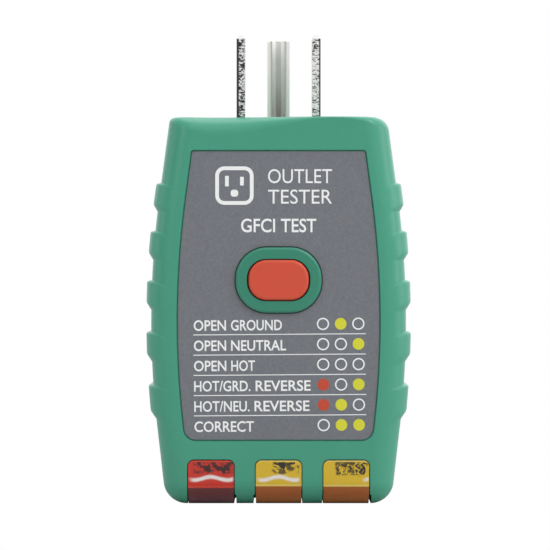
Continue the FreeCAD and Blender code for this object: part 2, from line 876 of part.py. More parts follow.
def make_resistors():
    """Three small series resistors for the lamps and one large one for the leakage test."""
    small = [
        make_resistor(
            size("resistor_radius"),
            size("resistor_length"),
            size("resistor_first") + number * size("resistor_pitch"),
            0,
            -1,
        )
        for number in range(3)
    ]
    large = make_resistor(
        size("power_radius"), size("power_length"), size("power_level"), size("board_thick"), 1
    )
    return shape_object("lamp_resistors", Part.makeCompound(small)), shape_object("test_resistor", large)


# ------------------------------------------------------------------ test button


def make_test_button():
    """Cap, retaining flange and stem in one moulding."""
    body = new_body("test_button")
    level = "dims.button_level"

    def stage(name, wide, tall, start, length):
        sketch = sketch_on(body, "XZ_Plane", name, start)
        draw_rectangle(
            sketch, f"-{wide} / 2", f"{wide} / 2", f"{level} - {tall} / 2", f"{level} + {tall} / 2"
        )
        return pad(body, sketch, length, backwards=True)

    cap = stage("cap", "dims.cap_wide", "dims.cap_tall", "dims.front_depth + dims.cap_proud", "dims.cap_deep")
    corners = dress(body, "Fillet", cap, "dims.cap_corner", lambda edge: runs_along(edge, Vec(0, 1, 0)))
    top = -size("front_depth") - size("cap_proud")
    soft = dress(body, "Fillet", corners, "dims.cap_edge", lambda edge: abs(edge.BoundBox.YMax - top) < 1e-6)
    stage(
        "flange",
        "dims.flange_wide",
        "dims.flange_tall",
        "dims.front_depth - dims.wall - dims.ease",
        "dims.flange_thick",
    )
    stem = sketch_on(body, "XZ_Plane", "stem", "dims.front_depth - dims.wall - dims.ease - dims.flange_thick")
    draw_circle(stem, "0", level, "dims.stem_radius")
    flange_back = "dims.front_depth - dims.wall - dims.ease - dims.flange_thick"
    pad(body, stem, f"{flange_back} - dims.bridge_level - dims.bridge_thick", backwards=True)
    tip = sketch_on(body, "XZ_Plane", "stem_tip", "dims.bridge_level + dims.bridge_thick")
    draw_circle(tip, "0", level, "dims.stem_tip_radius")
    pad(body, tip, "dims.bridge_thick + 0.3", backwards=True)
    doc.recompute()
    assert soft.Shape.Volume < corners.Shape.Volume
    return body


def make_contact_bridge():
    """The brass strip on the stem's tip that joins the two fixed contacts."""
    body = new_body("contact_bridge")
    sketch = sketch_on(body, "XZ_Plane", "bridge_outline", "dims.bridge_level + dims.bridge_thick")
    level = "dims.button_level"
    draw_rectangle(
        sketch,
        "-dims.bridge_wide / 2",
        "dims.bridge_wide / 2",
        f"{level} - dims.bridge_tall / 2",
        f"{level} + dims.bridge_tall / 2",
    )
    draw_circle(sketch, "0", level, "dims.stem_tip_radius + 0.01")
    pad(body, sketch, "dims.bridge_thick", backwards=True)
    return body


def make_switch_base():
    """The black block on the board that guides the stem and houses the contacts."""
    body = new_body("switch_base")
    level = "dims.button_level"
    block = sketch_on(body, "XZ_Plane", "switch_outline", "dims.switch_deep")
    draw_rectangle(
        block,
        "-dims.switch_wide / 2",
        "dims.switch_wide / 2",
        f"{level} - dims.switch_tall / 2",
        f"{level} + dims.switch_tall / 2",
    )
    pad(body, block, "dims.switch_deep", backwards=True)
    room = sketch_on(body, "XZ_Plane", "switch_room")
    draw_rectangle(
        room,
        "-dims.bridge_wide / 2 - 0.5",
        "dims.bridge_wide / 2 + 0.5",
        f"{level} - dims.bridge_tall / 2 - 1",
        f"{level} + dims.bridge_tall / 2 + 1",
    )
    pocket(body, room, "dims.switch_deep - dims.switch_roof", backwards=True)
    bore = sketch_on(body, "XZ_Plane", "switch_bore", "dims.switch_deep")
    draw_circle(bore, "0", level, "dims.stem_radius + dims.stem_play")
    pocket(body, bore, "dims.switch_roof + 1")
    return body


def make_fixed_contacts():
    """Two brass pads on the board under the ends of the bridge."""
    thick = "(dims.bridge_level - dims.button_travel - dims.contact_gap)"
    pads = []
    for number, side in enumerate(SIDES):
        pads.append(
            solid_box(
                f"contact_pad_{number}",
                "dims.pad_wide",
                thick,
                "dims.bridge_tall",
                f"{side} * (dims.bridge_wide - dims.pad_wide) / 2 - dims.pad_wide / 2",
                f"-{thick}",
                "dims.button_level - dims.bridge_tall / 2",
            )
        )
    return joined("fixed_contacts", *pads)


def make_button_spring():
    """A compression coil round the stem, between the flange and the switch block."""
    flange_back = -(size("front_depth") - size("wall") - size("ease") - size("flange_thick"))
    wire, radius = size("spring_wire"), size("spring_radius")
    length = -size("switch_deep") - flange_back - 2 * wire - 0.04
    pitch = length / size("spring_turns")
    helix = Part.makeHelix(pitch, length, radius)
    ring = Part.Wire(Part.Circle(Vec(radius, 0, 0), Vec(0, 1, 0), wire).toShape())
    coil = helix.makePipeShell([ring], True, True)
    coil.rotate(Vec(), Vec(1, 0, 0), -90)
    coil.translate(Vec(0, flange_back + wire + 0.02, size("button_level")))
    return shape_object("button_spring", coil)


# ----------------------------------------------------------------------- prongs


def make_blade(name, side):
    """A flat contact blade with a bevelled tip; its tail reaches the wires inside."""
    body = new_body(name)
    plan = sketch_on(body, "XY_Plane", name + "_plan", "dims.blade_tail")
    draw_rectangle(
        plan,
        f"{side} * dims.blade_spacing / 2 - dims.blade_thick / 2",
        f"{side} * dims.blade_spacing / 2 + dims.blade_thick / 2",
        "dims.blade_plane - dims.blade_wide / 2",
        "dims.blade_plane + dims.blade_wide / 2",
    )
    bar = pad(body, plan, "dims.blade_tip - dims.blade_tail")
    tip = size("blade_tip")

    def end(edge):
        return abs(edge.BoundBox.ZMin - tip) < 1e-6

    dress(body, "Chamfer", bar, "dims.blade_bevel", end)
    return body


def make_ground_pin():
    """A folded sheet pin of U section, its round side away from the blades."""
    wide, deep, sheet = size("pin_wide"), size("pin_deep"), size("pin_sheet")
    half = wide / 2
    round_y = size("pin_plane") + deep / 2 - half
    open_y = size("pin_plane") - deep / 2
    tail, tip = size("blade_tail"), size("pin_tip")

    def run(x, y):
        return Vec(x, y, tail)

    inner = half - sheet
    edges = [
        Part.LineSegment(run(-half, open_y), run(-half, round_y)),
        Part.Arc(run(-half, round_y), run(0, round_y + half), run(half, round_y)),
        Part.LineSegment(run(half, round_y), run(half, open_y)),
        Part.LineSegment(run(half, open_y), run(inner, open_y)),
        Part.LineSegment(run(inner, open_y), run(inner, round_y)),
        Part.Arc(run(inner, round_y), run(0, round_y + inner), run(-inner, round_y)),
        Part.LineSegment(run(-inner, round_y), run(-inner, open_y)),
        Part.LineSegment(run(-inner, open_y), run(-half, open_y)),
    ]
    section = Part.Face(Part.Wire([edge.toShape() for edge in edges]))
    pin = section.extrude(Vec(0, 0, tip - tail))
    outer_rim = [
        edge
        for edge in pin.Edges
        if abs(edge.BoundBox.ZMin - tip) < 1e-6
        and max(abs(edge.CenterOfMass.x), edge.CenterOfMass.y - round_y) > half * 0.6
    ]
    pin = pin.makeChamfer(size("pin_bevel"), outer_rim)
    return shape_object("ground_pin", pin)


def make_prong_carrier():
    """The insulating block behind the plug face, with a slot for each prong."""
    block = solid_box(
        "carrier_block",
        "dims.carrier_wide",
        "dims.carrier_back - dims.carrier_front",
        "dims.body_height - dims.wall - dims.fit_gap - dims.carrier_foot",
        "-dims.carrier_wide / 2",
        "dims.carrier_front",
        "dims.carrier_foot",
    )
    slots = [
        solid_box(
            f"carrier_slot_{number}",
            "dims.blade_thick + 2 * dims.fit_gap",
            "dims.blade_wide + 2 * dims.fit_gap",
            "20",
            f"{side} * dims.blade_spacing / 2 - dims.blade_thick / 2 - dims.fit_gap",
            "dims.blade_plane - dims.blade_wide / 2 - dims.fit_gap",
            "dims.carrier_foot - 5",
        )
        for number, side in enumerate(SIDES)
    ]
    slots.append(
        solid_box(
            "carrier_slot_pin",
            "dims.pin_wide + 2 * dims.fit_gap",
            "dims.pin_deep + 2 * dims.fit_gap",
            "20",
            "-dims.pin_wide / 2 - dims.fit_gap",
            "dims.pin_plane - dims.pin_deep / 2 - dims.fit_gap",
            "dims.carrier_foot - 5",
        )
    )
    return cut_from("prong_carrier", block, *slots)


def make_wires():
    """Three hook-up wires from the prong tails to the circuit board."""
    tail, level, bend = size("blade_tail"), size("wire_level"), size("wire_bend")
    routes = {
        "neutral_wire": (-size("blade_spacing") / 2, size("blade_plane"), 0),
        "hot_wire": (size("blade_spacing") / 2, size("blade_plane"), 0),
        "ground_wire": (
            0,
            size("pin_plane") + size("pin_deep") / 2 - size("pin_sheet") / 2,
            size("board_thick"),
        ),
    }
    wires = []
    for name, (x, y, face) in routes.items():
        points = [Vec(x, y, tail), Vec(x, y, level), Vec(x, face, level)]
        wires.append(shape_object(name, bent_wire(points, size("wire_radius"), bend)))
    return wires


# ----------------------------------------------------------------------- screws


def pan_screw(head_radius, head_high, shank_radius, length, drive):
    """A screw along +Y: domed head in front of y = 0 and shank behind it."""
    head = Part.makeCylinder(head_radius, head_high, Vec(0, -head_high, 0), Vec(0, 1, 0))
    crown = [edge for edge in head.Edges if abs(edge.BoundBox.YMax + head_high) < 1e-6]
    head = head.makeFillet(head_high * 0.55, crown)
    shank = Part.makeCylinder(shank_radius, length, Vec(0, 0, 0), Vec(0, 1, 0))
    point = [edge for edge in shank.Edges if abs(edge.BoundBox.YMin - length) < 1e-6]
    shank = shank.makeChamfer(shank_radius * 0.6, point)
    screw = head.fuse(shank)
    reach = head_radius * 0.62
    for turn in (0, 90):
        slot = Part.makeBox(2 * reach, head_high * 0.6, drive, Vec(-reach, -head_high, -drive / 2))
        slot.rotate(Vec(), Vec(0, 1, 0), turn)
        screw = screw.cut(slot)
    return screw


def make_screws():
    """Housing screws driven from the back, board screws driven from the front."""
    head_high = size("screw_head_high")
    housing = []
    for x, z in boss_places():
        screw = pan_screw(
            size("screw_head"), head_high, size("screw_radius"), size("screw_length"), size("drive_slot")
        )
        screw.rotate(Vec(), Vec(0, 0, 1), 180)
        screw.translate(Vec(x, size("back_depth") - size("screw_sunk") - head_high, z))
        housing.append(screw)
    board = []
    for x, z in post_places():
        screw = pan_screw(
            size("board_screw_head"),
            size("board_screw_head_high"),
            size("board_pilot") - size("fit_gap"),
            size("board_screw_length"),
            size("drive_slot"),
        )
        screw.translate(Vec(x, 0, z))
        board.append(screw)
    return (
        shape_object("housing_screws", Part.makeCompound(housing)),
        shape_object("board_screws", Part.makeCompound(board)),
    )


# --------------------------------------------------------------------- assembly

sub_parts = [make_front_shell(), make_rear_shell(), make_label_panel()]
sub_parts += [
    make_lens("lens_red", -1),
    make_lens("lens_amber_centre", 0),
    make_lens("lens_amber_right", 1),
]
for lamp_name, lamp_place in (("left", -1), ("centre", 0), ("right", 1)):
    sub_parts += make_lamp(lamp_name, lamp_place)
sub_parts += [make_lamp_baffle(), make_circuit_board()]
sub_parts += make_resistors()
sub_parts += [make_test_button(), make_contact_bridge(), make_switch_base()]
sub_parts += [make_fixed_contacts(), make_button_spring()]
sub_parts += [make_blade("neutral_blade", -1), make_blade("hot_blade", 1), make_ground_pin()]
sub_parts += [make_prong_carrier()]
sub_parts += make_wires()
sub_parts += make_screws()

doc.recompute()
for item in doc.Objects:
    if any(word in item.State for word in ("Invalid", "Error")):
        raise RuntimeError(f"{item.Name} failed: {item.State}")
os.makedirs("parts", exist_ok=True)
for item in sub_parts:
    if item.Shape.isNull() or not item.Shape.isValid():
        raise RuntimeError(f"{item.Name} has no valid shape")
    item.Label = item.Name
    item.Shape.exportStep(f"parts/{item.Label}.step")
    box = item.Shape.BoundBox
    spans = ((box.XMin, box.XMax), (box.YMin, box.YMax), (box.ZMin, box.ZMax))
    reach = "  ".join(f"{low:7.2f}..{high:6.2f}" for low, high in spans)
    print(f"{item.Label:24s} {len(item.Shape.Solids)} solids  {item.Shape.Volume:9.2f} mm3  {reach}")
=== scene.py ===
import logging
import math
from collections.abc import Callable
from dataclasses import dataclass, field, replace
from enum import Enum
from functools import partial
from typing import Protocol

import bpy
from mathutils import Matrix, Vector


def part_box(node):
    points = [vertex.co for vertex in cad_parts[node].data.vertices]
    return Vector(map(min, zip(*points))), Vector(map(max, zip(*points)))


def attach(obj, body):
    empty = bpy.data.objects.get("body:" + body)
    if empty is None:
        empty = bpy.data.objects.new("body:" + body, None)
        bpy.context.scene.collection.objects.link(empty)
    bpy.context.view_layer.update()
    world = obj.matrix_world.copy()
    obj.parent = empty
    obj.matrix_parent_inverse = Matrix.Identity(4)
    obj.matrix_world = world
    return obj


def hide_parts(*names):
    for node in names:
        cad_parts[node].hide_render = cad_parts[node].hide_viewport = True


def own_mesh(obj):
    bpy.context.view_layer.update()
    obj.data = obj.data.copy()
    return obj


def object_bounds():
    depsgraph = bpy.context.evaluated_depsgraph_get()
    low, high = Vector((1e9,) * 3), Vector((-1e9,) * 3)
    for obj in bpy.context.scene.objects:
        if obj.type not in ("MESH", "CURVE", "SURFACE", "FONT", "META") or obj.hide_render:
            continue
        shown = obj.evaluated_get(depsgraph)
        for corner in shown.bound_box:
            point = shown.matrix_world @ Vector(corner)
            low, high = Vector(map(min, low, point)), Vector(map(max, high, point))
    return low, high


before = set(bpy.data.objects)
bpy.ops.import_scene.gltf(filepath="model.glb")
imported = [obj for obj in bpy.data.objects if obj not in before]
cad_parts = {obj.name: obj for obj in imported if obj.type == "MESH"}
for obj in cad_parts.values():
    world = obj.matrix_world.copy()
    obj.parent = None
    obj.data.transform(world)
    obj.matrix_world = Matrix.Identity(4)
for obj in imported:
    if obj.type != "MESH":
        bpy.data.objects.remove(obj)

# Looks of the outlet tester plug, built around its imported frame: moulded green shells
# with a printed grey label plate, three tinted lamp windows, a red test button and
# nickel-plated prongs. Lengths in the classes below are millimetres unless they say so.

MM = 0.001
CAD_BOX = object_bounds()
LOG = logging.getLogger("outlet_tester")

# Socket numbers of the Mix node's colour mode.
MIX_A, MIX_B = 6, 7

# How tall the built-in font draws a capital at size 1, and the steps in each of its curves.
FONT_CAP_HEIGHT = 0.729
FONT_CURVE_STEPS = 4

# Adds one node to a tree that is already chosen, and a colour as a node or as plain values.
NodeAdder = Callable[..., bpy.types.Node]
Tint = bpy.types.Node | tuple[float, ...]


class Body(Enum):
    """The two bodies that move against each other."""

    HOUSING = "housing"
    BUTTON = "button"


class Ink(Enum):
    """The three screen-printing inks on the label plate, by material slot."""

    WHITE = "print_white"
    YELLOW = "print_yellow"
    RED = "print_red"


class Mark(Enum):
    """How one lamp is drawn in a row of the legend."""

    DARK = "o"
    YELLOW = "y"
    RED = "r"


# ------------------------------------------------------------------ small helpers


def srgb(code: str) -> tuple[float, float, float, float]:
    """Turn an sRGB hex colour into Blender's linear colour.

    Args:
        code: Six hex digits.

    Returns:
        Linear red, green and blue, with an alpha of 1.
    """
    parts = [int(code[i : i + 2], 16) / 255 for i in (0, 2, 4)]
    linear = [p / 12.92 if p <= 0.04045 else ((p + 0.055) / 1.055) ** 2.4 for p in parts]
    return (*linear, 1.0)


def per_metre(millimetres: float) -> float:
    """The texture scale whose features are that many millimetres across."""
    return 1 / (millimetres * MM)


def add_node(
    tree: bpy.types.NodeTree, kind: str, inputs: dict | None = None, **settings: str
) -> bpy.types.Node:
    """Add one shader node with its settings, values and links.

    Args:
        tree: The node tree that takes the node.
        kind: The node's type name, without its ShaderNode prefix.
        inputs: Socket name or number against a value, an output, or a node, which stands
            for the first output that it has in use.
        settings: Node property against its value.

    Returns:
        The new node.
    """
    node = tree.nodes.new(f"ShaderNode{kind}")
    for name, value in settings.items():
        setattr(node, name, value)
    for key, value in (inputs or {}).items():
        if isinstance(value, bpy.types.Node):
            value = next(output for output in value.outputs if output.enabled)
        if isinstance(value, bpy.types.NodeSocket):
            tree.links.new(value, node.inputs[key])
        else:
            node.inputs[key].default_value = value
    return node


def start_material(name: str) -> tuple[bpy.types.Material, NodeAdder, bpy.types.NodeSocket]:
    """Make an empty material.

    Args:
        name: The material's name.

    Returns:
        The material, add_node for its tree, and the Object coordinates that its patterns use.
    """
    material = bpy.data.materials.new(name)
    material.use_nodes = True
    material.node_tree.nodes.clear()
    add = partial(add_node, material.node_tree)
    return material, add, add("TexCoord").outputs["Object"]


def close_material(add: NodeAdder, inputs: dict) -> None:
    """Add the surface shader and the output that end a material.

    Args:
        add: Adds a node to the material.
        inputs: The surface's values and links.
    """
    add("OutputMaterial", {"Surface": add("BsdfPrincipled", inputs)})


def deselect_all() -> None:
    """Clear the selection, so that an operator acts on the new piece only."""
    if bpy.context.object and bpy.context.object.mode != "OBJECT":
        bpy.ops.object.mode_set(mode="OBJECT")
    bpy.ops.object.select_all(action="DESELECT")


def choose(piece: bpy.types.Object, kind: str, chosen: Callable) -> None:
    """Enter edit mode with only the faces or edges that a test accepts selected.

    Args:
        piece: The piece to edit.
        kind: FACE or EDGE.
        chosen: Takes the mesh and one face or edge, and says whether to select it.
    """
    bpy.context.view_layer.objects.active = piece
    bpy.ops.object.mode_set(mode="EDIT")
    bpy.ops.mesh.select_mode(type=kind)
    bpy.ops.mesh.select_all(action="DESELECT")
    bpy.ops.object.mode_set(mode="OBJECT")
    for item in piece.data.polygons if kind == "FACE" else piece.data.edges:
        item.select = chosen(piece.data, item)
    bpy.ops.object.mode_set(mode="EDIT")


def settle(piece: bpy.types.Object, name: str) -> bpy.types.Object:
    """Name a piece and put its place into its mesh.

    Args:
        piece: The piece, in object mode.
        name: Its name.

    Returns:
        The same piece.
    """
    deselect_all()
    piece.select_set(True)
    bpy.context.view_layer.objects.active = piece
    bpy.ops.object.transform_apply(location=True, rotation=True, scale=True)
    piece.name = name
    piece.data.name = name
    return piece


def join(pieces: list[bpy.types.Object], name: str) -> bpy.types.Object:
    """Join several pieces into one.

    Args:
        pieces: The pieces, each with its place in its mesh.
        name: The joined piece's name.

    Returns:
        The joined piece.
    """
    deselect_all()
    for piece in pieces:
        piece.select_set(True)
    bpy.context.view_layer.objects.active = pieces[0]
    if len(pieces) > 1:
        bpy.ops.object.join()
    return settle(bpy.context.object, name)


def copy_at(piece: bpy.types.Object, move: Vector) -> bpy.types.Object:
    """Copy a piece with a mesh of its own, moved within that mesh.

    Args:
        piece: The piece to copy.
        move: How far the copy stands from it.

    Returns:
        The copy.
    """
    twin = piece.copy()
    twin.data = piece.data.copy()
    twin.data.transform(Matrix.Translation(move))
    bpy.context.scene.collection.objects.link(twin)
    return twin


def dress(finishes: dict[str, "Finish"]) -> None:
    """Give frame nodes their finishes, and build a finish that several nodes share only once.

    Args:
        finishes: Each node's name against its finish.
    """
    built: dict[str, bpy.types.Material] = {}
    for name, finish in finishes.items():
        if finish.name not in built:
            built[finish.name] = finish.build()
        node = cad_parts[name]
        if not node.material_slots:
            node.data.materials.append(built[finish.name])
        for slot in node.material_slots:
            slot.material = built[finish.name]
        LOG.info("node %s: %s", name, finish.name)


def hand_over(piece: bpy.types.Object, body: Body, material: bpy.types.Material) -> None:
    """Finish a new piece: its material and the body it moves with.

    Args:
        piece: The piece.
        body: The body it rides on.
        material: Its finish.
    """
    piece.data.materials.clear()
    piece.data.materials.append(material)
    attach(piece, body.value)
    LOG.info("piece %s: %d faces", piece.name, len(piece.data.polygons))


# ----------------------------------------------------------------------- finishes


class Finish(Protocol):
    """What every finish has: a name, and a method that makes its material."""

    name: str

    def build(self) -> bpy.types.Material:
        """Make the material."""


@dataclass(frozen=True)
class PolishAndPaintedShade:
    """A part of a moulding that the mould maker polished: smooth and glossy, and painted darker than the
    satin moulding around it as painted shade.

    Behind the front depth lies a groove, with painted shade that is darker still.
    """

    colour: str
    painted_groove_shade: str
    roughness: float
    half_wide: float
    half_tall: float
    level: float
    front: float
    painted_groove_fade: float = 0.15

    def apply(
        self, add: NodeAdder, place: bpy.types.NodeSocket, tint: bpy.types.Node, shine: bpy.types.Node
    ) -> tuple[bpy.types.Node, bpy.types.Node, bpy.types.Node]:
        """Blend the polished zone, painted darker as painted shade, into a satin finish.

        Args:
            add: Adds a node to the material.
            place: The Object coordinates.
            tint: The satin finish's colour.
            shine: The satin finish's roughness.

        Returns:
            The blended colour and roughness, and the strength left to the grain.
        """
        axes = add("SeparateXYZ", {"Vector": place}).outputs
        zone: bpy.types.Node | float = 1.0
        for axis, middle, reach in (("X", 0.0, self.half_wide), ("Z", self.level, self.half_tall)):
            inside = add("Math", {0: axes[axis], 1: middle * MM, 2: reach * MM}, operation="COMPARE")
            zone = add("Math", {0: inside, 1: zone}, operation="MULTIPLY")
        edges = {"From Min": (self.front - self.painted_groove_fade) * MM, "From Max": self.front * MM}
        sunk = add("MapRange", {"Value": axes["Y"], **edges})
        # Painted shade: the zone is drawn darker than the satin moulding, and darker still in the groove
        # behind its front.
        ends = {MIX_A: srgb(self.colour), MIX_B: srgb(self.painted_groove_shade)}
        shaded = add("Mix", {"Factor": sunk, **ends}, data_type="RGBA")
        deep = add("Mix", {"Factor": zone, MIX_A: tint, MIX_B: shaded}, data_type="RGBA")
        smooth = add("Mix", {0: zone, 2: shine, 3: self.roughness})
        grit = add("Math", {0: 1.0, 1: zone}, operation="SUBTRACT")
        return deep, smooth, grit


@dataclass(frozen=True)
class MouldedPlastic:
    """Injection-moulded thermoplastic, such as ABS, PBT or PVC.

    A spark-eroded mould leaves a fine satin grain, and the pigment lies in soft clouds.
    """

    name: str
    colour: str
    cloud: str
    roughness: float = 0.42
    gloss_swing: float = 0.05
    cloud_size: float = 7.0
    grain_size: float = 0.28
    grain_depth: float = 0.012
    grain_strength: float = 0.6
    polish_and_painted_shade: PolishAndPaintedShade | None = None

    def build(self) -> bpy.types.Material:
        """Make the material: clouded pigment, and grain in both gloss and relief."""
        material, add, place = start_material(self.name)
        scale = per_metre(self.cloud_size)
        clouds = add("TexNoise", {"Vector": place, "Scale": scale, "Detail": 3.0, "Roughness": 0.6})
        scale = per_metre(self.grain_size)
        grain = add("TexNoise", {"Vector": place, "Scale": scale, "Detail": 2.0, "Roughness": 0.7})
        ends = {MIX_A: srgb(self.colour), MIX_B: srgb(self.cloud)}
        tint = add("Mix", {"Factor": clouds, **ends}, data_type="RGBA")
        swing = {"To Min": self.roughness - self.gloss_swing, "To Max": self.roughness + self.gloss_swing}
        shine = add("MapRange", {"Value": grain, "From Min": 0.3, "From Max": 0.7, **swing})
        grit: bpy.types.Node | float = self.grain_strength
        if self.polish_and_painted_shade:
            tint, shine, grit = self.polish_and_painted_shade.apply(add, place, tint, shine)
        relief = add("Bump", {"Height": grain, "Strength": grit, "Distance": self.grain_depth * MM})
        close_material(add, {"Base Color": tint, "Roughness": shine, "Normal": relief, "IOR": 1.53})
        return material


@dataclass(frozen=True)
class PrintedFilm:
    """Polycarbonate film printed solid grey from behind, with a sanded front.

    The sanding gives a dull, sandy surface with small light and dark specks.
    """

    name: str
    colour: str
    light_speck: str
    dark_speck: str
    speck_size: float = 0.42
    speck_contrast: float = 0.22
    sanding_depth: float = 0.01
    roughness: float = 0.5

    def build(self) -> bpy.types.Material:
        """Make the material: two sets of specks over the grey, and a sanded relief."""
        material, add, place = start_material(self.name)
        scale = per_metre(self.speck_size)
        sand = add("TexNoise", {"Vector": place, "Scale": scale, "Detail": 4.0, "Roughness": 0.75})
        tint: Tint = srgb(self.colour)
        for end, speck in (
            (0.5 + self.speck_contrast, self.light_speck),
            (0.5 - self.speck_contrast, self.dark_speck),
        ):
            share = add("MapRange", {"Value": sand, "From Min": 0.5, "From Max": end})
            tint = add("Mix", {"Factor": share, MIX_A: tint, MIX_B: srgb(speck)}, data_type="RGBA")
        relief = add("Bump", {"Height": sand, "Strength": 0.5, "Distance": self.sanding_depth * MM})
        close_material(
            add, {"Base Color": tint, "Roughness": self.roughness, "Normal": relief, "IOR": 1.58}
        )
        return material


@dataclass(frozen=True)
class ScreenInk:
    """Screen-printing ink: opaque and dull, a little thinner where the mesh threads lay."""

    name: str
    colour: str
    thin: str
    thread_spacing: float = 0.22

    def build(self) -> bpy.types.Material:
        """Make the material: a faint print-mesh unevenness in the colour and the gloss."""
        material, add, place = start_material(self.name)
        mesh = add("TexNoise", {"Vector": place, "Scale": per_metre(self.thread_spacing), "Detail": 1.0})
        ends = {MIX_A: srgb(self.colour), MIX_B: srgb(self.thin)}
        tint = add("Mix", {"Factor": mesh, **ends}, data_type="RGBA")
        gloss = add("MapRange", {"Value": mesh, "To Min": 0.4, "To Max": 0.6})
        close_material(add, {"Base Color": tint, "Roughness": gloss})
        return material


@dataclass(frozen=True)
class TintedPolycarbonate:
    """Clear polycarbonate dyed through and glossy, with light and shade painted into its colour.

    Dark patches above are painted shade for the lamp and the inside seen through the window; pale streaks
    and thin lines along the top rim and above the foot are painted highlights; a whitish band across the
    window is a painted reflection; and the foot is drawn dark as painted shade, lighter towards its bottom.
    """

    name: str
    centre: float
    clear: str
    deep: str
    foot: str
    painted_foot_light: str
    painted_highlight: str
    shade_patch_middle: float
    shade_patch_foot: float
    shade_patch_reach: float
    reflection_from: float
    reflection_to: float
    reflection_band: str = "F6F0EC"
    foot_thick: float = 2.87
    reflection_level: float = 4.4
    reflection_arch: float = 0.26
    reflection_length: float = 5.4
    reflection_half: float = 0.5
    loop_depth: float = 1.0
    patch_depth: float = 0.85
    see_through: float = 0.12
    top: float = 7.15
    wobble_size: float = 1.1
    streak_size: float = 0.45
    curl_size: float = 1.5

    def build(self) -> bpy.types.Material:
        """Make the material: painted shade patches above, a painted reflection band across, and a dark foot
        with painted shade below.
        """
        material, add, place = start_material(self.name)
        axes = add("SeparateXYZ", {"Vector": place}).outputs
        across = add("Math", {0: axes["X"], 1: 1 / MM, 2: -self.centre}, operation="MULTIPLY_ADD")
        up = add("Math", {0: axes["Z"], 1: 1 / MM}, operation="MULTIPLY")
        wobble = add("TexNoise", {"Vector": place, "Scale": per_metre(self.wobble_size), "Detail": 2.0})
        stretched = add("Mapping", {"Vector": place, "Scale": (0.3, 1.0, 1.0)})
        scale = per_metre(self.streak_size)
        streaks = add("TexNoise", {"Vector": stretched, "Scale": scale, "Detail": 2.0})
        scale = per_metre(self.curl_size)
        curl = add("TexNoise", {"Vector": place, "Scale": scale, "Detail": 1.0, "Distortion": 1.6})

        # Painted shade for the lamp and the dark inside seen through the window: loops follow one contour
        # of the curl noise, and patches fill the wobble's peaks.
        contour = add("Math", {0: curl, 1: 0.5}, operation="SUBTRACT")
        contour = add("Math", {0: contour}, operation="ABSOLUTE")
        off_side = add("Math", {0: across, 1: self.shade_patch_middle}, operation="SUBTRACT")
        off_side = add("Math", {0: off_side}, operation="ABSOLUTE")
        side = add("Math", {0: curl, 1: 1.6, 2: off_side}, operation="MULTIPLY_ADD")
        height = add("Math", {0: curl, 1: 1.2, 2: up}, operation="MULTIPLY_ADD")
        # Painted reflection: a whitish band across the window, centred on a wavy arch.
        phase = add("Math", {0: across, 1: 2 * math.pi / self.reflection_length}, operation="MULTIPLY")
        swing = add("Math", {0: phase}, operation="COSINE")
        middle = add("Math", {0: swing, 1: self.reflection_arch, 2: self.reflection_level}, operation="MULTIPLY_ADD")
        middle = add("Math", {0: wobble, 1: 0.12, 2: middle}, operation="MULTIPLY_ADD")
        distance = add("Math", {0: up, 1: middle}, operation="SUBTRACT")
        distance = add("Math", {0: distance}, operation="ABSOLUTE")

        # Each soft step: the value that is stepped, where it is 0, where it is full, and how full.
        steps = {
            "loops": (contour, 0.08, 0.04, self.loop_depth),
            "patches": (wobble, 0.46, 0.56, self.patch_depth),
            "shade_patch_side": (side, self.shade_patch_reach + 1.1, self.shade_patch_reach + 0.6, 1.0),
            "shade_patch_foot": (height, self.shade_patch_foot, self.shade_patch_foot + 0.5, 1.0),
            "shade_patch_top": (up, self.top + 0.1, self.top - 0.05, 1.0),
            "line": (distance, self.reflection_half, self.reflection_half * 0.2, 1.0),
            "reflection_start": (across, self.reflection_from, self.reflection_from + 1.2, 1.0),
            "reflection_end": (across, self.reflection_to, self.reflection_to - 0.5, 1.0),
            "reflection_breaks": (streaks, 0.0, 0.35, 1.0),
            "streaks": (streaks, 0.58, 1.0, 1.0),
            "rim": (up, self.top, self.top + 0.15, 0.5),
            "painted_foot_light": (up, 1.9, 0.3, 1.0),
            "foot": (up, self.foot_thick + 0.06, self.foot_thick - 0.06, 1.0),
        }
        shares = {
            name: add(
                "MapRange",
                {"Value": value, "From Min": start, "From Max": end, "To Max": full},
                interpolation_type="SMOOTHSTEP",
            )
            for name, (value, start, end, full) in steps.items()
        }
        # Painted shade patches, kept to one side of the window and above the foot.
        shade_patch = add("Math", {0: shares["loops"], 1: shares["patches"]}, operation="MAXIMUM")
        for name in ("shade_patch_side", "shade_patch_foot", "shade_patch_top"):
            shade_patch = add("Math", {0: shade_patch, 1: shares[name]}, operation="MULTIPLY")
        line = shares["line"]
        for name in ("reflection_start", "reflection_end", "reflection_breaks"):
            line = add("Math", {0: line, 1: shares[name]}, operation="MULTIPLY")
        # Painted highlight: a thin pale line just above the foot.
        ledge = add("Math", {0: up, 1: self.foot_thick + 0.2, 2: 0.13}, operation="COMPARE")
        ledge = add("Math", {0: ledge, 1: 0.6}, operation="MULTIPLY")
        # Painted shade: the foot is drawn dark, lighter towards its bottom.
        ends = {MIX_A: srgb(self.foot), MIX_B: srgb(self.painted_foot_light)}
        foot = add("Mix", {"Factor": shares["painted_foot_light"], **ends}, data_type="RGBA")
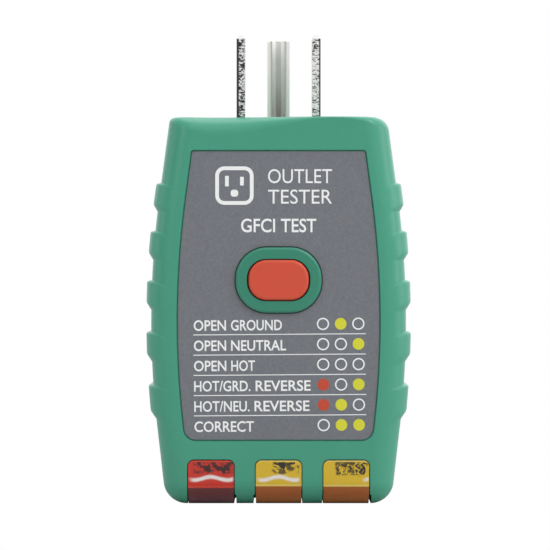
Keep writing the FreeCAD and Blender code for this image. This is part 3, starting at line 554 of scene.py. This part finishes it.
        # Layered over the clear tint: painted highlights (streaks, rim, ledge), painted shade patches, the
        # painted reflection band and the dark foot with painted shade.
        tint: Tint = srgb(self.clear)
        for share, layer in (
            (shares["streaks"], srgb(self.painted_highlight)),
            (shade_patch, srgb(self.deep)),
            (line, srgb(self.reflection_band)),
            (shares["rim"], srgb(self.painted_highlight)),
            (ledge, srgb(self.painted_highlight)),
            (shares["foot"], foot),
        ):
            tint = add("Mix", {"Factor": share, MIX_A: tint, MIX_B: layer}, data_type="RGBA")
        relief = add("Bump", {"Height": streaks, "Strength": 0.5, "Distance": 0.03 * MM})
        gloss = add("MapRange", {"Value": wobble, "To Min": 0.05, "To Max": 0.12})
        surface = {"Base Color": tint, "Roughness": gloss, "Normal": relief, "IOR": 1.585}
        close_material(add, {**surface, "Transmission Weight": self.see_through})
        return material


@dataclass(frozen=True)
class PlatedSheet:
    """Nickel-plated sheet metal: softly brushed faces, and sheared edges that tore grainy.

    The shear leaves a dark burnished band along the outer side of a blade's edge, and slanting tears across
    the rest of it. The near-white in the tears is partly torn grain and partly painted highlight, and the
    bevelled tip is painted the same near-white, partly clean metal and partly painted highlight.
    """

    name: str
    colour: str
    streak: str
    torn_grain_highlight: str
    torn_dark: str
    edge_front: float
    band: str
    band_outside: float
    tip_above: float
    roughness: float = 0.3
    tear_level: float = 0.45
    tear_contrast: float = 0.11
    tear_size: float = 0.24
    tear_slant: float = 24.0
    tear_stretch: float = 0.42
    brush_size: float = 0.18
    brush_depth: float = 0.01

    def build(self) -> bpy.types.Material:
        """Make the material: lengthwise brushing, and torn grain with painted highlight in front of one
        depth.
        """
        material, add, place = start_material(self.name)
        along = add("Mapping", {"Vector": place, "Scale": (1.0, 1.0, 0.04)})
        scale = per_metre(self.brush_size)
        brushing = add("TexNoise", {"Vector": along, "Scale": scale, "Detail": 3.0, "Roughness": 0.6})
        ends = {MIX_A: srgb(self.colour), MIX_B: srgb(self.streak)}
        face = add("Mix", {"Factor": brushing, **ends}, data_type="RGBA")
        turn = (0.0, math.radians(self.tear_slant), 0.0)
        stretch = (self.tear_stretch, 1.0, 1.0)
        slanted = add("Mapping", {"Vector": place, "Rotation": turn, "Scale": stretch})
        shape = {"Scale": per_metre(self.tear_size), "Detail": 2.0, "Roughness": 0.6, "Distortion": 0.6}
        tears = add("TexNoise", {"Vector": slanted, **shape})
        reach = {"From Min": self.tear_level, "From Max": self.tear_level + self.tear_contrast}
        torn = add("MapRange", {"Value": tears, **reach})
        axes = add("SeparateXYZ", {"Vector": place}).outputs
        outwards = add("Math", {0: axes["X"]}, operation="ABSOLUTE")
        reach = {"From Min": (self.band_outside - 0.06) * MM, "From Max": (self.band_outside + 0.06) * MM}
        outer = add("MapRange", {"Value": outwards, **reach})
        tip = add("Math", {0: axes["Z"], 1: self.tip_above * MM}, operation="GREATER_THAN")
        # Painted highlight: the near-white layer on the tears and the tip.
        edge: Tint = srgb(self.torn_dark)
        for share, layer in ((torn, self.torn_grain_highlight), (outer, self.band), (tip, self.torn_grain_highlight)):
            edge = add("Mix", {"Factor": share, MIX_A: edge, MIX_B: srgb(layer)}, data_type="RGBA")
        in_front = add("Math", {0: axes["Y"], 1: self.edge_front * MM}, operation="LESS_THAN")
        tint = add("Mix", {"Factor": in_front, MIX_A: face, MIX_B: edge}, data_type="RGBA")
        metal = add("MapRange", {"Value": in_front, "To Min": 1.0, "To Max": 0.35})
        swing = {"To Min": self.roughness, "To Max": self.roughness + 0.15}
        gloss = add("MapRange", {"Value": in_front, **swing})
        relief = add("Bump", {"Height": brushing, "Strength": 0.4, "Distance": self.brush_depth * MM})
        close_material(
            add, {"Base Color": tint, "Metallic": metal, "Roughness": gloss, "Normal": relief}
        )
        return material


@dataclass(frozen=True)
class FoldedPin:
    """Nickel-plated sheet rolled into a channel: painted highlight on the walls, painted shade on the inner
    part of each leg, and a duller fold line.
    """

    name: str
    leg: str
    leg_inner_shade: str
    painted_wall_highlight: str
    fold: str
    fold_foot: str
    edge_front: float
    fold_half: float = 0.45
    leg_shade_from: float = 1.28
    foot_level: float = 64.4
    shade_high: float = 7.0
    brush_size: float = 0.3
    brush_depth: float = 0.01
    metallic: float = 0.12

    def build(self) -> bpy.types.Material:
        """Make the material: painted highlight and painted shade across the channel, darker and browner
        towards the plug face.
        """
        material, add, place = start_material(self.name)
        axes = add("SeparateXYZ", {"Vector": place}).outputs
        outwards = add("Math", {0: axes["X"]}, operation="ABSOLUTE")
        along = add("Mapping", {"Vector": place, "Scale": (1.0, 1.0, 0.05)})
        brushing = add("TexNoise", {"Vector": along, "Scale": per_metre(self.brush_size), "Detail": 2.0})
        ragged = add("Math", {0: brushing, 1: 0.3 * MM, 2: outwards}, operation="MULTIPLY_ADD")
        low, wall_highlight_share, shade = (
            add("MapRange", {"Value": value, "From Min": start * MM, "From Max": end * MM})
            for value, start, end in (
                (axes["Z"], self.foot_level + self.shade_high, self.foot_level),
                (ragged, self.fold_half + 0.12, self.fold_half + 0.22),
                (outwards, self.leg_shade_from + 0.2, self.leg_shade_from - 0.1),
            )
        )
        in_front = add("Math", {0: axes["Y"], 1: self.edge_front * MM}, operation="LESS_THAN")
        ends = {MIX_A: srgb(self.leg), MIX_B: srgb(self.leg_inner_shade)}
        leg = add("Mix", {"Factor": shade, **ends}, data_type="RGBA")
        # Painted light: the white walls are a painted highlight inside the channel, and the inner part of
        # each leg is painted shade.
        tint: Tint = srgb(self.fold)
        for share, layer in ((low, srgb(self.fold_foot)), (wall_highlight_share, srgb(self.painted_wall_highlight)), (in_front, leg)):
            tint = add("Mix", {"Factor": share, MIX_A: tint, MIX_B: layer}, data_type="RGBA")
        gloss = add("MapRange", {"Value": brushing, "To Min": 0.24, "To Max": 0.36})
        relief = add("Bump", {"Height": brushing, "Strength": 0.3, "Distance": self.brush_depth * MM})
        close_material(
            add, {"Base Color": tint, "Metallic": self.metallic, "Roughness": gloss, "Normal": relief}
        )
        return material


@dataclass(frozen=True)
class SmallMetal:
    """Drawn, stamped or plated small metal parts, with fine drawing marks and dulling."""

    name: str
    colour: str
    dull: str
    roughness: float
    mark_size: float = 0.3
    mark_depth: float = 0.008

    def build(self) -> bpy.types.Material:
        """Make the material: patches of dulling that change the colour and the gloss."""
        material, add, place = start_material(self.name)
        scale = per_metre(self.mark_size)
        marks = add("TexNoise", {"Vector": place, "Scale": scale, "Detail": 3.0, "Roughness": 0.65})
        ends = {MIX_A: srgb(self.colour), MIX_B: srgb(self.dull)}
        tint = add("Mix", {"Factor": marks, **ends}, data_type="RGBA")
        swing = {"To Min": self.roughness - 0.08, "To Max": self.roughness + 0.12}
        gloss = add("MapRange", {"Value": marks, **swing})
        relief = add("Bump", {"Height": marks, "Strength": 0.4, "Distance": self.mark_depth * MM})
        close_material(add, {"Base Color": tint, "Metallic": 1.0, "Roughness": gloss, "Normal": relief})
        return material


@dataclass(frozen=True)
class LampGlass:
    """Soda-lime lamp glass: clear, with a soft ripple from the drawing of the tube."""

    name: str
    colour: str
    ripple_size: float = 3.0
    ripple_depth: float = 0.05

    def build(self) -> bpy.types.Material:
        """Make the material: clear glass whose surface ripples slightly."""
        material, add, place = start_material(self.name)
        ripple = add("TexNoise", {"Vector": place, "Scale": per_metre(self.ripple_size), "Detail": 1.0})
        relief = add("Bump", {"Height": ripple, "Strength": 0.5, "Distance": self.ripple_depth * MM})
        surface = {"Base Color": srgb(self.colour), "Roughness": 0.02, "Normal": relief, "IOR": 1.52}
        close_material(add, {**surface, "Transmission Weight": 1.0})
        return material


@dataclass(frozen=True)
class GlassEpoxy:
    """Glass-cloth laminate under solder resist: the woven cloth shows as a fine grid."""

    name: str
    colour: str
    thread: str
    thread_spacing: float = 0.5

    def build(self) -> bpy.types.Material:
        """Make the material: two crossed thread waves under a smooth lacquer."""
        material, add, place = start_material(self.name)
        # A wave texture repeats every pi / 10 of its scaled coordinate.
        wave = {"Vector": place, "Scale": per_metre(self.thread_spacing) * math.pi / 10, "Distortion": 0.4}
        warp, weft = (
            add("TexWave", wave, bands_direction=direction).outputs["Fac"] for direction in ("X", "Z")
        )
        cloth = add("Math", {0: warp, 1: weft}, operation="MULTIPLY")
        ends = {MIX_A: srgb(self.colour), MIX_B: srgb(self.thread)}
        tint = add("Mix", {"Factor": cloth, **ends}, data_type="RGBA")
        close_material(add, {"Base Color": tint, "Roughness": 0.3, "IOR": 1.55})
        return material


@dataclass(frozen=True)
class ResistorLacquer:
    """Fired lacquer on a resistor's body, with painted value bands across its axis."""

    name: str
    colour: str
    bands: tuple[str, ...]
    half_length: float
    band_wide: float = 0.55
    speckle_size: float = 0.5

    def build(self) -> bpy.types.Material:
        """Make the material: each band is a slice of the body along X."""
        material, add, place = start_material(self.name)
        along = add("SeparateXYZ", {"Vector": place}).outputs["X"]
        speckle = add("TexNoise", {"Vector": place, "Scale": per_metre(self.speckle_size), "Detail": 2.0})
        shade = add("MapRange", {"Value": speckle, "To Min": 0.3, "To Max": 0.55})
        tint: Tint = srgb(self.colour)
        pitch = 2 * self.half_length / (len(self.bands) + 1)
        reach = self.band_wide / 2 * MM
        for number, band in enumerate(self.bands, 1):
            centre = (number * pitch - self.half_length) * MM
            inside = add("Math", {0: along, 1: centre, 2: reach}, operation="COMPARE")
            tint = add("Mix", {"Factor": inside, MIX_A: tint, MIX_B: srgb(band)}, data_type="RGBA")
        close_material(add, {"Base Color": tint, "Roughness": shade})
        return material


# ------------------------------------------------------------------------ housing


@dataclass
class Housing:
    """The two green shells and the screws that hold them together."""

    shell: MouldedPlastic = MouldedPlastic(
        "abs_moulded_green",
        "3E9A7E",
        "459F83",
        roughness=0.33,
        # Painted shade: the polished zone round the test button is drawn darker than the shell, and its
        # groove darker still.
        polish_and_painted_shade=PolishAndPaintedShade(
            "34886F", "123429", roughness=0.24, half_wide=7.3, half_tall=5.6, level=37.3, front=-13.0
        ),
    )
    screw: SmallMetal = SmallMetal("steel_zinc_plated", "B9BCBF", "8F9396", 0.34)

    def dress(self) -> None:
        """Give the shells and the screws their finishes."""
        dress({"front_shell": self.shell, "rear_shell": self.shell, "housing_screws": self.screw})


# -------------------------------------------------------------------- label plate


@dataclass(frozen=True)
class Word:
    """One word of a legend row: how far it starts from the row's left end, and its width."""

    letters: str
    start: float
    wide: float


@dataclass
class Lettering:
    """One line of plain lettering, laid flat on the label plate."""

    words: str
    left: float
    baseline: float
    cap_height: float
    wide: float
    weight: float = 0.0

    def build(self, face: float, thick: float) -> bpy.types.Object:
        """Set the line and turn it to face forwards.

        Args:
            face: The depth of the lettering's middle, in metres.
            thick: How thick the ink is, in metres.

        Returns:
            The lettering as a mesh with its place in it.
        """
        deselect_all()
        bpy.ops.object.text_add()
        text = bpy.context.object
        text.data.body = self.words
        text.data.size = 1.0
        text.data.offset = self.weight
        text.data.resolution_u = FONT_CURVE_STEPS
        text.data.extrude = 0.5
        bpy.ops.object.convert(target="MESH")
        piece = bpy.context.object
        corners = [Vector(corner) for corner in piece.bound_box]
        start = min(corner.x for corner in corners)
        across = max(corner.x for corner in corners) - start
        stretch = self.wide * MM / across
        upright = self.cap_height * MM / FONT_CAP_HEIGHT
        piece.scale = (stretch, upright, thick)
        piece.rotation_euler = (math.radians(90), 0, 0)
        piece.location = (self.left * MM - start * stretch, face, self.baseline * MM)
        return settle(piece, self.words)


@dataclass
class LabelPlate:
    """The grey plate on the front and everything that is printed on it."""

    ink_thick: float = 0.03
    ink_proud: float = 0.2
    ring_sides: int = 40
    corner_steps: int = 6
    first_row: float = 29.98
    row_pitch: float = 3.351
    legend_left: float = -14.01
    legend_cap: float = 1.78
    legend_drop: float = 0.07
    legend_weight: float = 0.015
    legend_skew: float = 0.42
    columns: tuple[float, ...] = (7.40, 10.34, 13.26)
    ring_size: float = 2.04
    ring_stroke: float = 0.23
    dot_size: float = 1.94
    rule_left: float = -14.09
    rule_right: float = 14.47
    rule_wide: float = 0.14
    rows: tuple[tuple[tuple[Word, ...], str], ...] = (
        ((Word("OPEN", 0, 5.36), Word("GROUND", 6.17, 8.45)), "oyo"),
        ((Word("OPEN", 0, 5.36), Word("NEUTRAL", 6.17, 9.12)), "ooy"),
        ((Word("OPEN", 0, 5.36), Word("HOT", 6.17, 3.95)), "ooo"),
        ((Word("HOT/GRD.", 0, 9.33), Word("REVERSE", 10.18, 9.12)), "roy"),
        ((Word("HOT/NEU.", 0, 9.17), Word("REVERSE", 9.97, 9.12)), "ryo"),
        ((Word("CORRECT", 0, 9.86),), "oyy"),
    )
    title: tuple[Lettering, ...] = (
        Lettering("OUTLET", -1.76, 53.35, 2.45, 10.6),
        Lettering("TESTER", -1.76, 49.95, 2.45, 10.6),
    )
    mode: Lettering = field(
        default_factory=lambda: Lettering("GFCI TEST", -6.23, 45.25, 2.3, 12.48, 0.012)
    )
    pictogram_left: float = -10.5
    pictogram_foot: float = 49.75
    pictogram_size: float = 6.36
    film: PrintedFilm = PrintedFilm("polycarbonate_film_grey", "71747B", "7A7D83", "696B73")
    inks: dict[Ink, ScreenInk] = field(
        default_factory=lambda: {
            Ink.WHITE: ScreenInk("screen_ink_white", "FCFDFC", "F0F2F2"),
            Ink.YELLOW: ScreenInk("screen_ink_yellow", "E2E02E", "D2D23C"),
            Ink.RED: ScreenInk("screen_ink_red", "CE4C30", "C0452C"),
        }
    )

    @property
    def face(self) -> float:
        """The depth of the middle of the ink, in metres, on the front of the plate."""
        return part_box("label_panel")[0].y - self.ink_proud * self.ink_thick * MM

    def raised(self, piece: bpy.types.Object, stroke: float, name: str) -> bpy.types.Object:
        """Give a flat shape that faces forwards its line width and its thickness.

        Args:
            piece: The flat shape, in edit mode with its face selected.
            stroke: The line's width, or 0 for a solid shape.
            name: The piece's name.

        Returns:
            The closed piece.
        """
        if stroke:
            bpy.ops.mesh.inset(thickness=stroke * MM)
            bpy.ops.mesh.delete(type="FACE")
        bpy.ops.mesh.select_all(action="SELECT")
        bpy.ops.mesh.extrude_region_move(TRANSFORM_OT_translate={"value": (0, self.ink_thick * MM, 0)})
        bpy.ops.mesh.select_all(action="SELECT")
        bpy.ops.mesh.normals_make_consistent(inside=False)
        bpy.ops.object.mode_set(mode="OBJECT")
        return settle(piece, name)

    def disc(self, x: float, z: float, across: float, stroke: float, name: str) -> bpy.types.Object:
        """Make a printed spot, or a ring if it has a stroke.

        Args:
            x: The centre across the plate.
            z: The centre up the plate.
            across: The outer diameter.
            stroke: The line's width, or 0 for a solid spot.
            name: The piece's name.

        Returns:
            The spot or ring.
        """
        deselect_all()
        bpy.ops.mesh.primitive_circle_add(
            vertices=self.ring_sides,
            radius=across / 2 * MM,
            fill_type="NGON",
            location=(x * MM, self.face - self.ink_thick / 2 * MM, z * MM),
            rotation=(math.radians(90), 0, 0),
        )
        piece = settle(bpy.context.object, name)
        choose(piece, "FACE", lambda mesh, face: True)
        return self.raised(piece, stroke, name)

    def plaque(
        self, left: float, foot: float, wide: float, tall: float, corner: float, stroke: float, name: str
    ) -> bpy.types.Object:
        """Make a printed rounded rectangle, solid or in outline.

        Args:
            left: Its left side.
            foot: Its lower side.
            wide: Its width.
            tall: Its height.
            corner: Its corner radius, or 0 for square corners.
            stroke: The line's width, or 0 for a solid shape.
            name: The piece's name.

        Returns:
            The shape.
        """
        deselect_all()
        bpy.ops.mesh.primitive_plane_add(
            size=1,
            location=((left + wide / 2) * MM, self.face - self.ink_thick / 2 * MM, (foot + tall / 2) * MM),
            rotation=(math.radians(90), 0, 0),
        )
        bpy.context.object.scale = (wide * MM, tall * MM, 1)
        piece = settle(bpy.context.object, name)
        choose(piece, "FACE", lambda mesh, face: True)
        if corner:
            bpy.ops.mesh.bevel(affect="VERTICES", offset=corner * MM, segments=self.corner_steps)
        return self.raised(piece, stroke, name)

    def print_legend(self) -> dict[str, bpy.types.Object]:
        """Print the six rows: their words, the rules between them and the lamp marks.

        Returns:
            Each printed piece, by name.
        """
        thick = self.ink_thick * MM
        marks = {
            Mark.DARK: self.disc(self.columns[0], self.first_row, self.ring_size, self.ring_stroke, "ring"),
            Mark.YELLOW: self.disc(self.columns[0], self.first_row, self.dot_size, 0, "yellow"),
            Mark.RED: self.disc(self.columns[0], self.first_row, self.dot_size, 0, "red"),
        }
        printed: dict[Mark, list[bpy.types.Object]] = {mark: [] for mark in Mark}
        words, rules = [], []
        for number, (row, pattern) in enumerate(self.rows):
            level = self.first_row - number * self.row_pitch
            baseline = level - self.legend_drop - self.legend_cap / 2
            for word in row:
                left = self.legend_left + word.start
                line = Lettering(
                    word.letters, left, baseline, self.legend_cap, word.wide, self.legend_weight
                )
                words.append(line.build(self.face, thick))
            for column, mark in zip(self.columns, pattern):
                move = Vector((column - self.columns[0], 0, level - self.first_row)) * MM
                printed[Mark(mark)].append(copy_at(marks[Mark(mark)], move))
            if number + 1 < len(self.rows):
                foot = level - self.row_pitch / 2 - self.rule_wide / 2
                rules.append(
                    self.plaque(
                        self.rule_left, foot, self.rule_right - self.rule_left, self.rule_wide, 0, 0, "rule"
                    )
                )
        for master in marks.values():
            bpy.data.objects.remove(master)
        legend = {
            "print_legend": join(words, "print_legend"),
            "print_rules": join(rules, "print_rules"),
            "print_rings": join(printed[Mark.DARK], "print_rings"),
            "print_dots_yellow": join(printed[Mark.YELLOW], "print_dots_yellow"),
            "print_dots_red": join(printed[Mark.RED], "print_dots_red"),
        }
        middle = self.first_row - (len(self.rows) - 1) * self.row_pitch / 2
        pivot = Matrix.Translation(Vector((0, 0, middle * MM)))
        skew = pivot @ Matrix.Rotation(math.radians(-self.legend_skew), 4, "Y") @ pivot.inverted()
        for piece in legend.values():
            piece.data.transform(skew)
        return legend

    def print_pictogram(self) -> bpy.types.Object:
        """Print a plain wall outlet: a cover outline, two slots and a half-round hole."""
        left, foot, across = self.pictogram_left, self.pictogram_foot, self.pictogram_size
        middle = left + across / 2
        shapes = [
            self.plaque(left, foot, across, across, 1.5, 0.62, "cover"),
            self.plaque(middle - 1.55, foot + 3.05, 0.62, 1.75, 0.12, 0, "long_slot"),
            self.plaque(middle + 0.93, foot + 3.2, 0.62, 1.45, 0.12, 0, "short_slot"),
            self.plaque(middle - 0.62, foot + 1.35, 1.24, 1.15, 0.45, 0, "round_hole"),
        ]
        return join(shapes, "print_pictogram")

    def build(self) -> None:
        """Print the plate and dress it."""
        dress({"label_panel": self.film})
        inks = {ink: finish.build() for ink, finish in self.inks.items()}
        thick = self.ink_thick * MM
        printed = self.print_legend()
        printed["print_pictogram"] = self.print_pictogram()
        printed["print_title"] = join([line.build(self.face, thick) for line in self.title], "print_title")
        printed["print_mode"] = join([self.mode.build(self.face, thick)], "print_mode")
        colours = {"print_dots_yellow": Ink.YELLOW, "print_dots_red": Ink.RED}
        for name, piece in printed.items():
            ink = colours.get(name, Ink.WHITE)
            hand_over(piece, Body.HOUSING, inks[ink])


# ------------------------------------------------------------------- lamp windows


@dataclass
class LampWindows:
    """The three tinted windows with the neon lamps and the white baffle behind them."""

    red: TintedPolycarbonate = TintedPolycarbonate(
        "polycarbonate_dyed_red",
        centre=-11.2,
        clear="D62A12",
        deep="3C080A",
        foot="6A2A2C",
        painted_foot_light="7A4A54",
        painted_highlight="E4503A",
        shade_patch_middle=0.4,
        shade_patch_foot=5.7,
        shade_patch_reach=3.3,
        reflection_from=-3.9,
        reflection_to=3.9,
        loop_depth=0.6,
        patch_depth=1.0,
    )
    amber: TintedPolycarbonate = TintedPolycarbonate(
        "polycarbonate_dyed_amber_centre",
        centre=0.0,
        clear="E4BE1A",
        deep="1A1104",
        foot="AE5C1C",
        painted_foot_light="BE7428",
        painted_highlight="F4E290",
        shade_patch_middle=1.2,
        shade_patch_foot=5.7,
        shade_patch_reach=2.1,
        reflection_from=-3.9,
        reflection_to=3.6,
        foot_thick=3.15,
    )
    glass: LampGlass = LampGlass("glass_soda_lime", "F4F6F4")
    lead: SmallMetal = SmallMetal("copper_tinned", "C6C4BE", "94928C", 0.3)
    baffle: MouldedPlastic = MouldedPlastic("abs_moulded_white", "ECECE6", "E2E2DA")

    def dress(self) -> None:
        """Give the windows, lamps, leads and baffle their finishes."""
        amber_right = replace(
            self.amber,
            name="polycarbonate_dyed_amber_right",
            centre=-self.red.centre,
            shade_patch_middle=0.9,
            shade_patch_foot=5.4,
            shade_patch_reach=2.6,
            reflection_from=2.4,
            reflection_to=3.9,
            foot_thick=3.1,
        )
        dress({"lens_red": self.red, "lens_amber_centre": self.amber, "lens_amber_right": amber_right})
        places = ("left", "centre", "right")
        dress({f"lamp_glass_{place}": self.glass for place in places})
        dress({f"lamp_electrodes_{place}": self.lead for place in places})
        dress({"lamp_baffle": self.baffle})


# ------------------------------------------------------------------ circuit board


@dataclass
class CircuitBoard:
    """The board with its resistors and screws, and the wires from the prongs."""

    board: GlassEpoxy = GlassEpoxy("laminate_glass_epoxy", "2F6B42", "3C7A4E")
    small: ResistorLacquer = ResistorLacquer(
        "lacquer_resistor_tan", "CDB58C", ("6B3E1E", "1C1A18", "D9B02C", "A8812E"), 3.15
    )
    large: ResistorLacquer = ResistorLacquer(
        "lacquer_resistor_slate", "6E7F92", ("6B3E1E", "D0552A", "7A4A22", "B08A34"), 5.5, 0.9
    )
    screw: SmallMetal = SmallMetal("steel_zinc_plated_small", "B9BCBF", "8F9396", 0.34)
    insulation: dict[str, MouldedPlastic] = field(
        default_factory=lambda: {
            "hot_wire": MouldedPlastic("pvc_insulation_black", "202022", "2A2A2C"),
            "neutral_wire": MouldedPlastic("pvc_insulation_white", "E4E3DD", "D8D7D0"),
            "ground_wire": MouldedPlastic("pvc_insulation_green", "2F7D3C", "378846"),
        }
    )

    def dress(self) -> None:
        """Give the board and what is on it their finishes."""
        dress({"circuit_board": self.board, "lamp_resistors": self.small, "test_resistor": self.large})
        dress({"board_screws": self.screw, **self.insulation})


# -------------------------------------------------------------------- test switch


@dataclass
class TestSwitch:
    """The red button, its return spring, and the contacts that it closes."""

    wire_radius: float = 0.22
    open_turns: int = 4
    steps_per_turn: int = 28
    wire_sides: int = 10
    travel: float = 1.5
    button: MouldedPlastic = MouldedPlastic("pbt_moulded_red", "DA5034", "D24A30", 0.4)
    base: MouldedPlastic = MouldedPlastic("pbt_moulded_black", "232325", "2C2C2E")
    contact: SmallMetal = SmallMetal("brass_stamped", "C9A75A", "A8843E", 0.3)
    wire: SmallMetal = SmallMetal("steel_music_wire", "A4A6A8", "7E8083", 0.26)

    def wind_spring(self) -> bpy.types.Object:
        """Wind the return spring round the button's stem, with closed coils at both ends.

        Returns:
            The spring, between the button's flange and the switch block.
        """
        low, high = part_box("button_spring")
        wire = self.wire_radius * MM
        radius = (high.x - low.x) / 2 - wire
        centre = (low + high) / 2
        first, last = low.y + wire, high.y - wire
        deselect_all()
        bpy.ops.mesh.primitive_circle_add(
            vertices=self.wire_sides, radius=wire, location=(radius, 0, 0), fill_type="NOTHING"
        )
        coil = settle(bpy.context.object, "coil")
        winding = coil.modifiers.new("winding", "SCREW")
        winding.axis = "Y"
        winding.iterations = self.open_turns
        winding.steps = self.steps_per_turn
        winding.render_steps = self.steps_per_turn
        winding.screw_offset = (last - first) / self.open_turns
        winding.use_normal_calculate = True
        bpy.ops.object.modifier_apply(modifier=winding.name)
        choose(coil, "FACE", lambda mesh, face: True)
        bpy.ops.mesh.fill_holes(sides=0)
        bpy.ops.mesh.select_all(action="SELECT")
        bpy.ops.mesh.normals_make_consistent(inside=False)
        bpy.ops.object.mode_set(mode="OBJECT")
        coil.location = (centre.x, first, centre.z)
        pieces = [settle(coil, "coil")]
        for level in (first, last):
            deselect_all()
            bpy.ops.mesh.primitive_torus_add(
                location=(centre.x, level, centre.z),
                rotation=(math.radians(90), 0, 0),
                major_segments=self.steps_per_turn,
                minor_segments=self.wire_sides,
                major_radius=radius,
                minor_radius=wire,
            )
            pieces.append(settle(bpy.context.object, "closed_turn"))
        return join(pieces, "button_coil")

    def build(self) -> None:
        """Dress the switch and replace its plain spring with a wound one."""
        dress({"test_button": self.button, "switch_base": self.base})
        dress({"contact_bridge": self.contact, "fixed_contacts": self.contact})
        spring = self.wind_spring()
        hand_over(spring, Body.HOUSING, self.wire.build())
        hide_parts("button_spring")
        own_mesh(spring)


# ------------------------------------------------------------------------- prongs


@dataclass
class Prongs:
    """The two blades, the ground pin and the block that carries them."""

    skin: float = 0.05
    clean_tip: float = 0.6
    band_outside: dict[str, float] = field(
        default_factory=lambda: {"neutral_blade": 6.66, "hot_blade": 6.8}
    )
    tear_level: dict[str, float] = field(default_factory=lambda: {"neutral_blade": 0.45, "hot_blade": 0.4})
    carrier: MouldedPlastic = MouldedPlastic("phenolic_moulded_black", "262628", "303032", 0.5)

    def dress(self) -> None:
        """Give the prongs and their carrier their finishes."""
        low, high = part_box("neutral_blade")
        blades = {
            name: PlatedSheet(
                f"nickel_plated_{name}",
                colour="B4B3AE",
                streak="8E8D88",
                torn_grain_highlight="F8F8F6",
                torn_dark="2A2A2A",
                edge_front=low.y / MM + self.skin,
                band="3C3C3E",
                band_outside=band_outside,
                tip_above=high.z / MM - self.clean_tip,
                tear_level=self.tear_level[name],
            )
            for name, band_outside in self.band_outside.items()
        }
        pin = FoldedPin(
            "nickel_plated_pin",
            leg="FFFDF8",
            leg_inner_shade="C0BAB0",
            painted_wall_highlight="FFFFFF",
            fold="DEDCD6",
            fold_foot="B0A894",
            edge_front=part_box("ground_pin")[0].y / MM + self.skin,
        )
        dress({**blades, "ground_pin": pin, "prong_carrier": self.carrier})


# ------------------------------------------------------------------------- studio


@dataclass(frozen=True)
class SoftBox:
    """One square soft box: its power in watts, its side and its place in metres."""

    name: str
    power: float
    size: float
    place: tuple[float, float, float]

    def hang(self, aim: Vector) -> None:
        """Hang the soft box.

        Args:
            aim: The point it faces, in metres.
        """
        data = bpy.data.lights.new(self.name, "AREA")
        data.energy = self.power
        data.size = self.size
        lamp = bpy.data.objects.new(self.name, data)
        lamp.location = self.place
        lamp.rotation_euler = (aim - lamp.location).to_track_quat("-Z", "Y").to_euler()
        bpy.context.scene.collection.objects.link(lamp)


@dataclass
class Studio:
    """A pale floor, soft light all round, and the camera."""

    camera_side: float = -0.6
    camera_back: float = 393.1
    camera_height: float = 38.13
    lens: float = 150.35
    sensor: float = 36.0
    floor_size: float = 4000.0
    paper: str = "C0C0C0"
    surround: float = 0.12
    from_right: float = 0.45
    from_above: float = 0.85
    from_front: float = 0.14
    from_back: float = 1.1
    boxes: tuple[SoftBox, ...] = (
        SoftBox("key_box", 2.1, 0.5, (0.45, -0.5, 0.6)),
        SoftBox("band_box", 0.5, 0.3, (-0.58, -0.7, 0.3)),
        SoftBox("top_box", 1.2, 0.5, (0.0, 0.1, 0.75)),
        SoftBox("right_box", 0.5, 0.3, (0.75, -0.1, 0.15)),
        SoftBox("left_box", 0.2, 0.25, (-0.75, 0.0, 0.15)),
    )

    def lay_floor(self) -> None:
        """Lay a pale matt floor under the object."""
        deselect_all()
        bpy.ops.mesh.primitive_plane_add(size=self.floor_size * MM)
        floor = bpy.context.object
        floor.name = "studio_floor"
        material, add, _ = start_material("studio_paper")
        paper = add("BsdfDiffuse", {"Color": srgb(self.paper)})
        glow = add("Emission", {"Color": srgb("FFFFFF"), "Strength": 1.0})
        seen = add("LightPath").outputs["Is Camera Ray"]
        add("OutputMaterial", {"Surface": add("MixShader", {0: seen, 1: paper, 2: glow})})
        floor.data.materials.append(material)

    def light(self) -> None:
        """Light the object: a grey surround, seen as white by the camera, and the soft boxes."""
        world = bpy.data.worlds.new("studio_world")
        bpy.context.scene.world = world
        world.use_nodes = True
        world.node_tree.nodes.clear()
        add = partial(add_node, world.node_tree)
        towards = add("TexCoord").outputs["Generated"]
        axes = add("SeparateXYZ", {"Vector": towards}).outputs
        level: bpy.types.Node | float = self.surround
        for axis, end, share in (
            ("X", 1.0, self.from_right),
            ("Z", 1.0, self.from_above),
            ("Y", -1.0, self.from_front),
            ("Y", 1.0, self.from_back),
        ):
            lobe = add("MapRange", {"Value": axes[axis], "From Max": end, "To Max": share})
            level = add("Math", {0: lobe, 1: level}, operation="ADD")
        grey = add("Background", {"Color": srgb("FFFFFF"), "Strength": level})
        white = add("Background", {"Color": srgb("FFFFFF"), "Strength": 1.0})
        seen = add("LightPath").outputs["Is Camera Ray"]
        add("OutputWorld", {"Surface": add("MixShader", {0: seen, 1: grey, 2: white})})
        low, high = CAD_BOX
        for box in self.boxes:
            box.hang((low + high) / 2)

    def place_camera(self) -> None:
        """Stand the camera level in front of the label."""
        data = bpy.data.cameras.new("camera")
        data.lens = self.lens
        data.sensor_width = self.sensor
        data.clip_start = 0.01
        data.clip_end = 20
        camera = bpy.data.objects.new("camera", data)
        camera.location = Vector((self.camera_side, -self.camera_back, self.camera_height)) * MM
        camera.rotation_euler = (math.radians(90), 0, 0)
        bpy.context.scene.collection.objects.link(camera)
        bpy.context.scene.camera = camera

    def build(self) -> None:
        """Set up the floor, the lights and the camera."""
        self.lay_floor()
        self.light()
        self.place_camera()
        bpy.context.scene.view_settings.view_transform = "Standard"


# --------------------------------------------------------------------------- main


def main() -> None:
    """Build and dress every sub-assembly, then the studio."""
    logging.basicConfig(level=logging.INFO, format="%(name)s %(message)s")
    Studio().build()
    Housing().dress()
    LabelPlate().build()
    LampWindows().dress()
    CircuitBoard().dress()
    TestSwitch().build()
    Prongs().dress()


if __name__ == "__main__":
    main()
